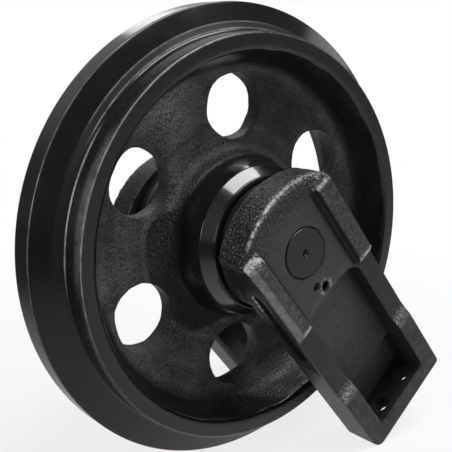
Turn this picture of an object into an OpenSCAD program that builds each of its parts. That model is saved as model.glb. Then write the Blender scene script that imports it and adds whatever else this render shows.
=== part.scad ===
// Front idler of a small crawler excavator: a cast wheel that turns on a fixed shaft between two brackets.
// Y is the wheel's axis, Z is up and the origin is the middle of the wheel. The near side is -Y.
// The wheel stands on its flange, and the tips of both bracket arms rest on the same floor.

/* [Wheel rim] */
// Diameter over the centre flange, which runs between the track's links
flange_d = 470; // [450:1:500]
// Width of the flange at its top
flange_top_w = 26; // [18:0.5:34]
// Width of the flange where its sides would meet the treads
flange_foot_w = 54; // [46:0.5:62]
// Radius between the flange's sides and the treads
flange_fillet = 10; // [4:0.5:14]
// Diameter of the two treads
tread_d = 412; // [396:1:430]
// Width over both treads
wheel_w = 104; // [92:1:112]
// Inner diameter of the rim at its ends
rim_end_d = 378; // [364:1:390]
// Draft of the rim's inner wall, in degrees
rim_draft = 20; // [8:1:26]
// Radius between the rim's inner wall and the web
rim_fillet = 26; // [10:1:32]
// Chamfer on the turned edges of the flange and the treads
edge_chamfer = 1.5; // [0.5:0.1:3]

/* [Wheel web] */
// Thickness of the web
web_t = 19; // [12:1:26]
// Number of through holes in the web
web_hole_count = 6; // [4:1:8]
// Diameter of the web's holes
web_hole_d = 66; // [40:1:72]
// Diameter of the circle on which the web's holes lie
web_hole_pcd = 266; // [250:1:276]

/* [Wheel hub] */
// Width over the hub's ends
hub_w = 125; // [118:1:136]
// Diameter of the hub at the shoulder below its turned ends
hub_d = 151; // [136:1:164]
// Diameter of the hub's end faces
hub_end_d = 138; // [124:1:150]
// Length of the turned taper at each hub end
hub_taper_l = 14; // [8:0.5:20]
// Draft of the hub's cast flank, in degrees
hub_draft = 10; // [4:1:14]
// Radius between the hub's flank and the web
hub_fillet = 24; // [10:1:28]
// Depth of the oil chamber outside the bushes' seats
chamber_depth = 5; // [2:0.5:10]

/* [Shaft] */
// Diameter of the fixed shaft
shaft_d = 50; // [44:1:56]
// Chamfer on the shaft's ends
shaft_chamfer = 1; // [0.5:0.1:2]
// Diameter of the lathe centre in the near end
lathe_centre_d = 5; // [3:0.5:8]
// Diameter of the oil gallery along the shaft
gallery_d = 8; // [5:0.5:10]
// Diameter of the cross hole that feeds the oil chamber
cross_hole_d = 6; // [3:0.5:8]

/* [Bushes] */
// Wall of the flanged bushes
bush_wall = 4; // [3:0.5:6]
// Length of a bush inside its seat
bush_l = 30; // [20:1:36]
// Thickness of a bush's thrust flange
bush_flange_t = 3; // [2:0.5:5]
// How far the thrust flange stands out past the seat
bush_flange_lip = 5; // [3:0.5:7]
// Running clearance between shaft and bush, on the radius
running_clearance = 0.05; // [0.02:0.01:0.09]
// Running clearance at the thrust flanges
thrust_clearance = 0.3; // [0.1:0.05:0.6]

/* [Seals] */
// Wall of the spigot on which the fixed seal ring is centred
spigot_wall = 7; // [5:0.5:9]
// Clearance between the spigot and the bores of the seal rings
seal_bore_clearance = 1.5; // [0.5:0.1:2.5]
// Wall of a seal ring at its back
seal_neck_t = 3; // [2:0.5:5]
// Length of the ramp that the rubber ring sits on
seal_ramp_l = 7; // [6.4:0.1:9]
// Angle of that ramp, in degrees
seal_ramp_angle = 12; // [6:1:16]
// Thickness of a seal ring's face flange
seal_face_t = 4; // [3:0.5:6]
// How far the face flange stands out past the ramp
seal_face_lip = 5; // [3:0.5:6]
// Cord diameter of the rubber rings behind the seal rings
toric_d = 6; // [5:0.1:6.3]
// Oil film between the two lapped faces
seal_face_gap = 0.1; // [0.05:0.01:0.2]
// Room behind a seal ring
seal_back_gap = 0.7; // [0.4:0.1:1.2]
// Cord diameter of the rings that seal the shaft in the brackets
o_ring_d = 3; // [2:0.1:4]

/* [Bracket] */
// Length from the wheel's axis to the tip of the arm
arm_l = 257; // [248:1:290]
// Width of the arm
arm_w = 126; // [116:1:140]
// Radius of the tip corner that rests on the floor
tip_r = 12; // [4:1:20]
// Radius of the upper tip corner
upper_tip_r = 4; // [2:0.5:12]
// Radius of the rounded head
head_r = 99.5; // [80:0.5:120]
// Reach of the head behind the wheel's axis
head_reach = 70; // [62:1:78]
// Gap between hub and bracket
bracket_gap = 2.5; // [1.5:0.1:4]
// Diameter of the boss that faces the hub
boss_d = 128; // [112:1:140]
// Height of that boss
boss_l = 12; // [11:0.5:16]
// Thickness of the bracket at its flat outer panel
plate_t = 39; // [36:0.5:46]
// Bevel along the inner edges of the arm
inner_bevel = 5; // [2:0.5:8]
// Chamfer of the shaft's bore at the panel
bore_chamfer = 2; // [1:0.2:4]

/* [Guides and pocket] */
// Width of the two guide pads
pad_w = 20; // [12:0.5:24]
// Height of the guide pads over the panel
pad_rise = 8; // [5:0.5:12]
// Where the guide pads start, from the wheel's axis
pad_start = -43; // [-50:1:-36]
// Where the guide pads end
pad_end = 58; // [50:1:70]
// Length of the slope at each end of the pads
pad_slope_l = 6; // [3:0.5:10]
// Width of the worn bevel along the lower pad's outer edge
pad_bevel_w = 7.5; // [3:0.5:10]
// How far that bevel falls
pad_bevel_drop = 4.7; // [2.2:0.5:5.2]
// Thickness of the walls beside the pocket
wall_t = 22; // [17:0.5:24]
// Height of those walls over the panel
wall_rise = 2.5; // [1:0.5:4]
// Height of the end block over the panel
end_rise = 6; // [4.5:0.5:10]
// Where the walls start to rise to the end block
ramp_start = 151; // [140:1:160]
// Length of that rise
ramp_l = 19; // [10:1:24]
// Depth of the recess between those walls, below the panel
recess_depth = 19; // [12:0.5:23]
// Where the recess deepens to the pocket
pocket_start = 187; // [176:1:200]
// Depth of the pocket before the end wall, below the panel
pocket_depth = 32; // [26:0.5:33]
// Radius of the corners of recess and pocket
pocket_r = 6; // [2:0.5:9]
// Thickness of the end wall
end_wall_t = 20; // [14:0.5:26]
// Width of the guide groove along each side of the bracket
groove_w = 14; // [13:0.5:16]
// Depth of that groove
groove_depth = 8; // [4:0.5:12]
// Where the groove starts, from the wheel's axis
groove_start = -3; // [-8:1:3]
// Where the groove ends
groove_end = 100; // [80:1:120]
// Height of the groove's middle over the bracket's inner face
groove_height = 24; // [20:0.5:25]

/* [Fasteners and holes] */
// Diameter of the two bolt holes in the end wall
bolt_hole_d = 18.5; // [17:0.5:24]
// Distance between those holes
bolt_pitch = 43; // [36:0.5:46]
// Depth of those holes below the panel
bolt_drop = 12.5; // [10:0.5:16]
// Diameter of the pins that lock the shaft
lock_pin_d = 12; // [8:0.5:12]
// Diameter of the blind location hole in the panel
location_hole_d = 10.5; // [6:0.5:12]
// Depth of that hole
location_hole_depth = 14; // [8:1:20]
// Distance of that hole from the shaft's edge
location_hole_offset = 22; // [18:1:28]
// How far that hole lies below the arm's middle line
location_hole_drop = 2; // [-6:0.5:6]
// Diameter of the raised lip round that hole
location_lip_d = 17.5; // [15:0.5:20]
// Height of that lip
location_lip_h = 1.2; // [0.6:0.1:2]
// Clearance of parts that are pressed or slid together and then stay, on the radius
seat_clearance = 0.02; // [0.01:0.01:0.03]

/* [Oil plug] */
// Diameter of the plug's head
plug_head_d = 19; // [16:0.5:22]
// Thickness of that head
plug_head_t = 6; // [4:0.5:8]
// Diameter of the plug's shank
plug_shank_d = 12; // [10:0.5:14]
// Length of that shank
plug_shank_l = 13; // [8:1:18]
// Width across the flats of the plug's hexagon socket
plug_socket_af = 8; // [5:0.5:10]
// Thickness of the sealing washer under the head
plug_washer_t = 1.5; // [1:0.1:2.5]
// Depth of the plug's head below the end of the shaft
plug_recess = 0.5; // [0.2:0.1:1]

/* [Hidden] */
$fn = 96;
NEAR = 0;
FAR = 1;
through = 1;  // how far a cutting shape runs past the surface that it opens

// Radii of the wheel's surfaces
flange_r = flange_d / 2;
tread_r = tread_d / 2;
rim_end_r = rim_end_d / 2;
hub_r = hub_d / 2;
hub_end_r = hub_end_d / 2;

// Distances from the wheel's middle plane, outwards along the axis
hub_end = hub_w / 2;
boss_face = hub_end + bracket_gap;
inner_face = boss_face + boss_l;
panel = inner_face + plate_t;
pad_top = panel + pad_rise;
wall_top = panel + wall_rise;
end_top = panel + end_rise;
bracket_top = max(pad_top, end_top);
bolt_level = panel - bolt_drop;
groove_level = inner_face + groove_height;
seal_plane = (hub_end + boss_face) / 2;
seal_l = seal_face_t + seal_ramp_l;
fixed_seal_floor = seal_plane + seal_face_gap / 2 + seal_l + seal_back_gap;
bush_thrust_face = seal_plane - seal_face_gap / 2 - seal_l - seal_back_gap;
bush_seat_face = bush_thrust_face - bush_flange_t;
spigot_face = bush_thrust_face + thrust_clearance;
chamber_end = bush_seat_face - bush_l;

// Ends of the recess's drafted walls in the wheel's section, as radius and distance
rim_end = [rim_end_r, wheel_w / 2];
rim_root = [rim_end_r - (wheel_w - web_t) / 2 * tan(rim_draft), web_t / 2];
shoulder = [hub_r, hub_end - hub_taper_l];
hub_root = [hub_r + (shoulder.y - web_t / 2) * tan(hub_draft), web_t / 2];

// Fits round the shaft
shaft_r = shaft_d / 2;
bush_bore_r = shaft_r + running_clearance;
bush_r = bush_bore_r + bush_wall;
bush_seat_r = bush_r + seat_clearance;
bush_flange_r = bush_r + bush_flange_lip;
bracket_bore_r = shaft_r + seat_clearance;
spigot_r = shaft_r + spigot_wall;

// Seal rings: the rubber ring lies between two parallel ramps, one on the ring and one in its housing
seal_bore_r = spigot_r + seal_bore_clearance;
ramp_back_r = seal_bore_r + seal_neck_t;
ramp_front_r = ramp_back_r + seal_ramp_l * tan(seal_ramp_angle);
ramp_middle_r = (ramp_back_r + ramp_front_r) / 2;
seal_face_r = ramp_front_r + seal_face_lip;
toric_clearance = 0.1;
toric_room = (toric_d + 2 * toric_clearance) / cos(seal_ramp_angle);
toric_middle_r = ramp_middle_r + toric_room / 2;
toric_offset = seal_face_gap / 2 + seal_face_t + seal_ramp_l / 2;

// Shaft's own grooves and holes
lock_pin_r = lock_pin_d / 2;
lock_pin_end_gap = 1;  // from a pin's end to the floor of the bracket's groove
lock_pin_l = arm_w - 2 * (groove_depth + lock_pin_end_gap);
o_ring_squeeze = 0.8;  // depth of the groove, as a share of the cord
o_ring_room = 1.2;  // width of the groove, as a share of the cord
o_ring_groove_depth = o_ring_d * o_ring_squeeze;
o_ring_groove_w = o_ring_d * o_ring_room;
o_ring_level = (inner_face + groove_level - lock_pin_r) / 2;
o_ring_cord_d = o_ring_groove_depth - 2 * seat_clearance;
lathe_centre_angle = 60;
lathe_centre_depth = lathe_centre_d / 2 / tan(lathe_centre_angle / 2);
plug_shank_r = plug_shank_d / 2;
plug_head_room = 0.5;
plug_seat = panel - plug_recess - plug_head_t - plug_washer_t;

location_hole_along = shaft_r + location_hole_offset;

// Arm's angle below the horizontal, at which its lower tip corner rests on the floor with the flange
tip_across = arm_w / 2 - tip_r;
tip_along = arm_l - tip_r;
tip_reach = norm([tip_along, tip_across]);
arm_angle = asin(min(1, (flange_r - tip_r) / tip_reach)) - atan2(tip_across, tip_along);

function unit(v) = v / norm(v);

// What a fillet of radius r adds to an outline, or takes off it, in a corner at p between edges to a and to b
module corner_piece(p, a, b, r) {
    to_a = unit(a - p);
    to_b = unit(b - p);
    half = acos(to_a * to_b) / 2;
    centre = p + unit(to_a + to_b) * r / sin(half);
    difference() {
        polygon([
            p - unit(to_a + to_b) * through,
            p + to_a * r / tan(half),
            centre,
            p + to_b * r / tan(half)
        ]);
        translate(centre) circle(r);
    }
}

// Turns a shape whose z runs outwards into the near side or, mirrored, the far side
module outwards(side) {
    mirror([0, side, 0]) rotate([90, 0, 0]) children();
}

// The same, with x along the bracket's arm
module along_arm(side) {
    outwards(side) rotate([0, 0, -arm_angle]) children();
}

// Cylinder across the arm, at a place along it and a height
module cross_cylinder(along, height, r, length) {
    translate([along, 0, height]) rotate([90, 0, 0]) cylinder(r = r, h = length, center = true);
}

// Section of the cast recess between the rim and the hub, down to the web
module web_recess() {
    difference() {
        polygon([
            rim_end + unit(rim_end - rim_root) * through,
            rim_root,
            hub_root,
            shoulder + unit(shoulder - hub_root) * through
        ]);
        corner_piece(rim_root, rim_end, hub_root, rim_fillet);
        corner_piece(hub_root, shoulder, rim_root, hub_fillet);
    }
}

// Half of the wheel's blank, from the middle plane outwards: x is the radius and y the distance
module wheel_blank() {
    flange_side = [flange_r, flange_top_w / 2];
    flange_foot = [tread_r, flange_foot_w / 2];
    tread_edge = [tread_r, wheel_w / 2];
    housing_r = toric_middle_r + toric_room / 2;
    toric_level = seal_plane - toric_offset;
    flange_slope = unit(flange_foot - flange_side);
    polygon([
        [bush_seat_r + chamber_depth, 0],
        [flange_r, 0],
        flange_side - [0, edge_chamfer],
        flange_side + flange_slope * edge_chamfer,
        flange_foot,
        tread_edge - [0, edge_chamfer],
        tread_edge - [edge_chamfer, 0],
        rim_end,
        shoulder,
        [hub_end_r, hub_end],
        [housing_r + (hub_end - toric_level) * tan(seal_ramp_angle), hub_end],
        [housing_r + (bush_seat_face - toric_level) * tan(seal_ramp_angle), bush_seat_face],
        [bush_seat_r, bush_seat_face],
        [bush_seat_r, chamber_end],
        [bush_seat_r + chamber_depth, chamber_end]
    ]);
    corner_piece(flange_foot, flange_side, tread_edge, flange_fillet);
}

module wheel_half_section() {
    difference() {
        wheel_blank();
        web_recess();
    }
}

module idler_wheel() {
    color([0.07, 0.07, 0.075]) difference() {
        outwards(NEAR) rotate_extrude() {
            wheel_half_section();
            mirror([0, 1]) wheel_half_section();
        }
        for (i = [0 : web_hole_count - 1])
            outwards(NEAR) rotate([0, 0, 90 + i * 360 / web_hole_count]) translate([web_hole_pcd / 2, 0])
                cylinder(d = web_hole_d, h = wheel_w, center = true);
    }
}

module bush(side) {
    color([0.72, 0.50, 0.24]) outwards(side) rotate_extrude() polygon([
        [bush_bore_r, chamber_end],
        [bush_r, chamber_end],
        [bush_r, bush_seat_face],
        [bush_flange_r, bush_seat_face],
        [bush_flange_r, bush_thrust_face],
        [bush_bore_r, bush_thrust_face]
    ]);
}

// Metal face ring. Its lapped face looks along +z, at z = 0
module seal_ring() {
    color([0.62, 0.63, 0.65]) rotate_extrude() polygon([
        [seal_bore_r, 0],
        [seal_face_r, 0],
        [seal_face_r, -seal_face_t],
        [ramp_front_r, -seal_face_t],
        [ramp_back_r, -seal_l],
        [seal_bore_r, -seal_l]
    ]);
}

module turning_seal_ring(side) {
    outwards(side) translate([0, 0, seal_plane - seal_face_gap / 2]) seal_ring();
}

module fixed_seal_ring(side) {
    outwards(side) translate([0, 0, seal_plane + seal_face_gap / 2]) mirror([0, 0, 1]) seal_ring();
}

module toric(side, level) {
    color([0.05, 0.05, 0.05]) outwards(side) translate([0, 0, level])
        rotate_extrude() translate([toric_middle_r, 0]) circle(d = toric_d);
}

module turning_toric(side) {
    toric(side, seal_plane - toric_offset);
}

module fixed_toric(side) {
    toric(side, seal_plane + toric_offset);
}

// Outline of the bracket: a head with a broad arc, and a straight arm with rounded tip corners
module bracket_plan() {
    half = arm_w / 2;
    intersection() {
        translate([head_r - head_reach, 0]) circle(head_r);
        translate([-head_reach, -half]) square([head_r, arm_w]);
    }
    difference() {
        translate([0, -half]) square([arm_l, arm_w]);
        corner_piece([arm_l, -half], [0, -half], [arm_l, 0], tip_r);
        corner_piece([arm_l, half], [0, half], [arm_l, 0], upper_tip_r);
    }
}

// Extrudes an outline drawn along and out of the arm, over a width across it
module across_arm(width) {
    rotate([90, 0, 0]) linear_extrude(width, center = true) children();
}

// Side view of the bracket's outer edge: guide pads, lower walls, and the rise to the end block
module bracket_side_view() {
    polygon([
        [-head_reach, inner_face],
        [-head_reach, panel],
        [pad_start - pad_slope_l, panel],
        [pad_start, pad_top],
        [pad_end, pad_top],
        [pad_end + pad_slope_l, wall_top],
        [ramp_start, wall_top],
        [ramp_start + ramp_l, end_top],
        [arm_l, end_top],
        [arm_l, inner_face]
    ]);
}

// What is cut from between the walls: a recess, and the deeper pocket before the end wall
module pocket_cut() {
    recess_start = pad_end + pad_slope_l;
    pocket_end = arm_l - end_wall_t;
    half = arm_w / 2 - wall_t;
    mouth = bracket_top + through;
    intersection() {
        across_arm(arm_w) polygon([
            [recess_start, mouth],
            [recess_start, panel - recess_depth],
            [pocket_start, panel - recess_depth],
            [pocket_start, panel - pocket_depth],
            [pocket_end, panel - pocket_depth],
            [pocket_end, mouth]
        ]);
        linear_extrude(mouth) difference() {
            translate([recess_start, -half]) square([pocket_end - recess_start, 2 * half]);
            for (u = [recess_start, pocket_end], v = [-half, half])
                corner_piece([u, v], [arm_l / 2, v], [u, 0], pocket_r);
        }
    }
}

// Bevel along the outer edge of the lower pad, which runs out in the slope at the pad's end
module pad_bevel_cut() {
    half = arm_w / 2;
    overrun = through * pad_bevel_drop / pad_bevel_w;
    translate([-head_reach, -half, pad_top])
        rotate([90, 0, 90]) linear_extrude(head_reach + pad_end + pad_slope_l) polygon([
            [-through, -pad_bevel_drop - overrun],
            [pad_bevel_w + through, overrun],
            [-through, overrun]
        ]);
}

// Space between the guide pads, down to the flat panel
module panel_cut() {
    half = arm_w / 2 - pad_w;
    translate([-head_reach - through, -half, panel])
        cube([head_reach + through + pad_end + pad_slope_l, 2 * half, pad_rise + through]);
}

// Long groove with round ends, open to the arm's side
module groove_cut() {
    r = groove_w / 2;
    length = groove_depth + through;
    for (side = [0, 1]) mirror([0, side, 0]) translate([0, arm_w / 2 + through - length / 2, 0]) {
        translate([groove_start + r, -length / 2, groove_level - r])
            cube([groove_end - groove_start - groove_w, length, groove_w]);
        for (end = [groove_start + r, groove_end - r]) cross_cylinder(end, groove_level, r, length);
    }
}

// Bevel along both inner edges of the arm
module bevel_cut() {
    for (side = [0, 1]) mirror([0, side, 0])
        translate([-head_reach, arm_w / 2, inner_face])
            rotate([90, 0, 90]) linear_extrude(head_reach + arm_l) polygon([
                [-inner_bevel - through, -through],
                [through, -through],
                [through, inner_bevel + through]
            ]);
}

// Boss that faces the hub, with the housing of the fixed seal and the spigot that takes the thrust
module boss() {
    housing_r = toric_middle_r + toric_room / 2;
    toric_level = seal_plane + toric_offset;
    rotate_extrude() polygon([
        [bracket_bore_r, spigot_face],
        [spigot_r, spigot_face],
        [spigot_r, fixed_seal_floor],
        [housing_r + (toric_level - fixed_seal_floor) * tan(seal_ramp_angle), fixed_seal_floor],
        [housing_r + (toric_level - boss_face) * tan(seal_ramp_angle), boss_face],
        [boss_d / 2, boss_face],
        [boss_d / 2, inner_face + through],
        [bracket_bore_r, inner_face + through]
    ]);
}

module location_hole_lip() {
    lip_top_d = (location_lip_d + location_hole_d) / 2;
    translate([location_hole_along, -location_hole_drop, panel])
        cylinder(d1 = location_lip_d, d2 = lip_top_d, h = location_lip_h);
}

module bracket(side) {
    color([0.13, 0.13, 0.135]) along_arm(side) difference() {
        union() {
            difference() {
                intersection() {
                    translate([0, 0, inner_face]) linear_extrude(bracket_top - inner_face) bracket_plan();
                    across_arm(arm_w) bracket_side_view();
                }
                panel_cut();
                pad_bevel_cut();
                pocket_cut();
                groove_cut();
                bevel_cut();
            }
            boss();
            location_hole_lip();
        }
        cylinder(r = bracket_bore_r, h = pad_top);
        translate([0, 0, panel - bore_chamfer])
            cylinder(r1 = bracket_bore_r, r2 = bracket_bore_r + 2 * bore_chamfer, h = 2 * bore_chamfer);
        cross_cylinder(shaft_r, groove_level, lock_pin_r + seat_clearance, arm_w);
        translate([location_hole_along, -location_hole_drop, panel - location_hole_depth])
            cylinder(d = location_hole_d, h = 2 * location_hole_depth);
        for (v = [-1, 1]) translate([arm_l - 2 * end_wall_t, v * bolt_pitch / 2, bolt_level])
            rotate([0, 90, 0]) cylinder(d = bolt_hole_d, h = 3 * end_wall_t);
    }
}

module shaft() {
    groove_bottom_r = shaft_r - o_ring_groove_depth;
    color([0.20, 0.20, 0.20]) difference() {
        for (side = [NEAR, FAR]) outwards(side) {
            cylinder(r = shaft_r, h = panel - shaft_chamfer);
            translate([0, 0, panel - shaft_chamfer])
                cylinder(r1 = shaft_r, r2 = shaft_r - shaft_chamfer, h = shaft_chamfer);
        }
        for (side = [NEAR, FAR]) outwards(side)
            translate([0, 0, o_ring_level - o_ring_groove_w / 2]) rotate_extrude()
                translate([groove_bottom_r, 0]) square([o_ring_groove_depth + through, o_ring_groove_w]);
        for (side = [NEAR, FAR]) along_arm(side)
            cross_cylinder(shaft_r, groove_level, lock_pin_r + seat_clearance, arm_w);
        outwards(NEAR) translate([0, 0, panel - lathe_centre_depth])
            cylinder(d1 = 0, d2 = 2 * lathe_centre_d, h = 2 * lathe_centre_depth);
        outwards(FAR) {
            translate([0, 0, -gallery_d]) cylinder(d = gallery_d, h = panel);
            translate([0, 0, plug_seat - plug_shank_l - through])
                cylinder(r = plug_shank_r + seat_clearance, h = panel);
            translate([0, 0, plug_seat]) cylinder(r = plug_head_d / 2 + plug_head_room, h = panel);
        }
        cylinder(d = cross_hole_d, h = shaft_d);
    }
}

module lock_pin(side) {
    color([0.45, 0.45, 0.46]) along_arm(side) cross_cylinder(shaft_r, groove_level, lock_pin_r, lock_pin_l);
}

module shaft_o_ring(side) {
    color([0.05, 0.05, 0.05]) outwards(side) translate([0, 0, o_ring_level]) rotate_extrude()
        translate([shaft_r - o_ring_groove_depth / 2, 0]) circle(d = o_ring_cord_d);
}

module oil_plug() {
    head_seat = plug_seat + plug_washer_t;
    color([0.50, 0.50, 0.50]) outwards(FAR) difference() {
        union() {
            translate([0, 0, plug_seat - plug_shank_l])
                cylinder(d = plug_shank_d, h = plug_shank_l + plug_washer_t);
            translate([0, 0, head_seat]) cylinder(d = plug_head_d, h = plug_head_t);
        }
        translate([0, 0, head_seat])
            cylinder(d = plug_socket_af / cos(30), h = plug_head_t + through, $fn = 6);
    }
}

module oil_plug_washer() {
    color([0.72, 0.45, 0.30]) outwards(FAR) translate([0, 0, plug_seat]) difference() {
        cylinder(d = plug_head_d, h = plug_washer_t);
        translate([0, 0, -through])
            cylinder(r = plug_shank_r + seat_clearance, h = plug_washer_t + 2 * through);
    }
}

idler_wheel();
bush(NEAR);  // near_bush
bush(FAR);  // far_bush
turning_seal_ring(NEAR);  // near_turning_seal_ring
turning_seal_ring(FAR);  // far_turning_seal_ring
turning_toric(NEAR);  // near_turning_toric
turning_toric(FAR);  // far_turning_toric
bracket(NEAR);  // near_bracket
bracket(FAR);  // far_bracket
shaft();
lock_pin(NEAR);  // near_lock_pin
lock_pin(FAR);  // far_lock_pin
shaft_o_ring(NEAR);  // near_shaft_o_ring
shaft_o_ring(FAR);  // far_shaft_o_ring
fixed_seal_ring(NEAR);  // near_fixed_seal_ring
fixed_seal_ring(FAR);  // far_fixed_seal_ring
fixed_toric(NEAR);  // near_fixed_toric
fixed_toric(FAR);  // far_fixed_toric
oil_plug();
oil_plug_washer();
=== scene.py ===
# %% [markdown]
# # A crawler excavator's front idler, dressed in Blender
# The construction comes in as a fixed frame: twenty solids at their real size, in metres, with the wheel's
# axis along Y and the floor at the foot of the wheel. This lesson gives that frame its looks. The wheel,
# the two brackets and the shaft are made again as clean meshes that stand for their solids. Every other
# solid keeps its shape and gets a finish.

# %% Load the frame
import math

import bmesh
import bpy
import numpy as np
from mathutils import Matrix, Vector, noise


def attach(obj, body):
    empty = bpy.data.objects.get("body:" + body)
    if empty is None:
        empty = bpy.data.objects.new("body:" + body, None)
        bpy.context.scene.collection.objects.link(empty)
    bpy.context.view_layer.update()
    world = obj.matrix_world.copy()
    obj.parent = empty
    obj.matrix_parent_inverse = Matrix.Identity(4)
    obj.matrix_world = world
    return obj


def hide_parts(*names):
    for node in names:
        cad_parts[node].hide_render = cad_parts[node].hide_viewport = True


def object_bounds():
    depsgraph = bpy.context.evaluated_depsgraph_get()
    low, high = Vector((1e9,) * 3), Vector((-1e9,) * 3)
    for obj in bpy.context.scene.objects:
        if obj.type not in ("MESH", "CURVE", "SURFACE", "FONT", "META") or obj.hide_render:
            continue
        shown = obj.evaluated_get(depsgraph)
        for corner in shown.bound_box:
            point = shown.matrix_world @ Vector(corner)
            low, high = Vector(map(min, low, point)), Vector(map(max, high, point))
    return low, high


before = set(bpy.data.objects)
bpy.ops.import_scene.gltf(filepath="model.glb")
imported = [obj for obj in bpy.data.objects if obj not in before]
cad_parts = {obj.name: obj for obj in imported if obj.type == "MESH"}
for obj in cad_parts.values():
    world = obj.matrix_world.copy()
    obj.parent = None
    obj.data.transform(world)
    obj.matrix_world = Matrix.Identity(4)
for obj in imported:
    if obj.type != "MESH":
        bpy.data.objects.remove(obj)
cad_low, cad_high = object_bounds()
scene = bpy.context.scene
floor_z = cad_low.z
print("frame:", len(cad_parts), "nodes, size", [round(v, 3) for v in cad_high - cad_low])

# %% [markdown]
# ## Camera
# The photograph looks down on the wheel's near side from the left, from less than a metre away, so the near
# bracket looks large. The lens follows from the picture: the focal length in pixels over the picture's
# width is the lens over the sensor's width. A small roll levels the object as it was photographed.

# %% Camera
PICTURE_W = 452
FOCAL_PIXELS = 802.4
SENSOR_W = 36.0
CAMERA_PLACE = Vector((-0.5194, -0.6424, 0.1945))
CAMERA_TARGET = Vector((-0.0006, 0.0039, 0.0057))
CAMERA_ROLL = math.radians(-0.35)


def add_object(name, data):
    """A new object of the scene that holds the data."""
    made = bpy.data.objects.new(name, data)
    scene.collection.objects.link(made)
    return made


camera = add_object("camera", bpy.data.cameras.new("camera"))
camera.data.sensor_width = SENSOR_W
camera.data.lens = FOCAL_PIXELS / PICTURE_W * SENSOR_W
camera.location = CAMERA_PLACE
camera.rotation_euler = (CAMERA_TARGET - CAMERA_PLACE).to_track_quat("-Z", "Y").to_euler()
camera.rotation_euler.rotate_axis("Z", CAMERA_ROLL)
scene.camera = camera
print("camera: lens", round(camera.data.lens, 1), "mm")

# %% [markdown]
# ## A small helper for finishes
# A finish is a tree of shader nodes. Writing each node as one call, with its inputs as a dictionary, keeps
# the recipe readable: a value is set on the socket, and another node's output is linked to it.


# %% Finish helper
class Finish:
    """A tree of shader nodes under construction, for a material or for the world."""

    def __init__(self, owner):
        self.owner = owner
        self.owner.use_nodes = True
        self.tree = self.owner.node_tree
        self.tree.nodes.clear()
        self.coordinates = self.node("ShaderNodeTexCoord").outputs
        self.place = self.coordinates["Object"]

    def node(self, kind, inputs=None, **settings):
        made = self.tree.nodes.new(kind)
        for key, value in settings.items():
            setattr(made, key, value)
        for key, value in (inputs or {}).items():
            if isinstance(value, bpy.types.NodeSocket):
                self.tree.links.new(value, made.inputs[key])
            else:
                made.inputs[key].default_value = value
        return made

    def math(self, operation, first, second, clamp=False):
        inputs = {0: first, 1: second}
        return self.node("ShaderNodeMath", inputs, operation=operation, use_clamp=clamp).outputs[0]

    def times(self, first, second):
        return self.math("MULTIPLY", first, second)

    def plus(self, first, second):
        return self.math("ADD", first, second)

    def noise(self, scale, detail=3.0, place=None, rough=0.55):
        inputs = {"Vector": place or self.place, "Scale": scale, "Detail": detail, "Roughness": rough}
        return self.node("ShaderNodeTexNoise", inputs).outputs["Fac"]

    def spread(self, value, low, high, to_low=0.0, to_high=1.0, kind="LINEAR"):
        inputs = {"Value": value, "From Min": low, "From Max": high, "To Min": to_low, "To Max": to_high}
        return self.node("ShaderNodeMapRange", inputs, interpolation_type=kind).outputs["Result"]

    def mask(self, name):
        return self.node("ShaderNodeAttribute", attribute_name=name).outputs["Fac"]

    def mix(self, share, first, second):
        """A colour between two: sockets 6 and 7 of the mix node are for colours, and so is its output 2."""
        return self.node("ShaderNodeMix", {0: share, 6: first, 7: second}, data_type="RGBA").outputs[2]

    def coats(self, colour, layers):
        """A colour under coats, from the lowest to the top one: each is a share and a colour."""
        for share, coat in layers:
            colour = self.mix(share, colour, coat)
        return colour

    def blend(self, share, first, second):
        return self.node("ShaderNodeMixShader", {0: share, 1: first, 2: second}).outputs[0]

    def mirrored(self, rays):
        """1 for a ray that a surface has mirrored or let through."""
        return self.math("MAXIMUM", rays["Is Glossy Ray"], rays["Is Transmission Ray"])

    def bump(self, height, strength, distance, under=None):
        inputs = {"Height": height, "Strength": strength, "Distance": distance}
        if under is not None:
            inputs["Normal"] = under
        return self.node("ShaderNodeBump", inputs).outputs["Normal"]

    def surface(self, inputs):
        """Ends the recipe with a painted, metal or rubber surface, and returns its material."""
        shader = self.node("ShaderNodeBsdfPrincipled", inputs)
        self.node("ShaderNodeOutputMaterial", {"Surface": shader.outputs["BSDF"]})
        return self.owner


def new_finish(name):
    return Finish(bpy.data.materials.new(name))


def grey(value, warmth=0.0):
    """A linear grey, a little warmer with warmth."""
    return (value * (1 + warmth), value, value * (1 - warmth), 1.0)


print("finish helper: a warm mid grey is", grey(0.2, 0.05))

# %% [markdown]
# ## Studio
# Black paint shows what surrounds it more than it shows itself. The photograph's highlights come from one
# large soft box overhead, a white floor, and a dim room at eye level. The backdrop is white for the eye. In
# reflections it is bright only above and behind, and falls off towards the horizon, which keeps the turned
# collar dark at its side.

# %% Backdrop
FILL_LEVEL, ROOM_LEVEL, BACK_LEVEL, WHITE = 0.22, 0.13, 0.35, 1.0
BACK_RISE, BACK_TURN = (0.20, 0.50), (0.10, 0.60)

sky = Finish(bpy.data.worlds.new("studio"))


def sky_light(strength):
    return sky.node("ShaderNodeBackground", {"Color": grey(1.0), "Strength": strength}).outputs[0]


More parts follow.
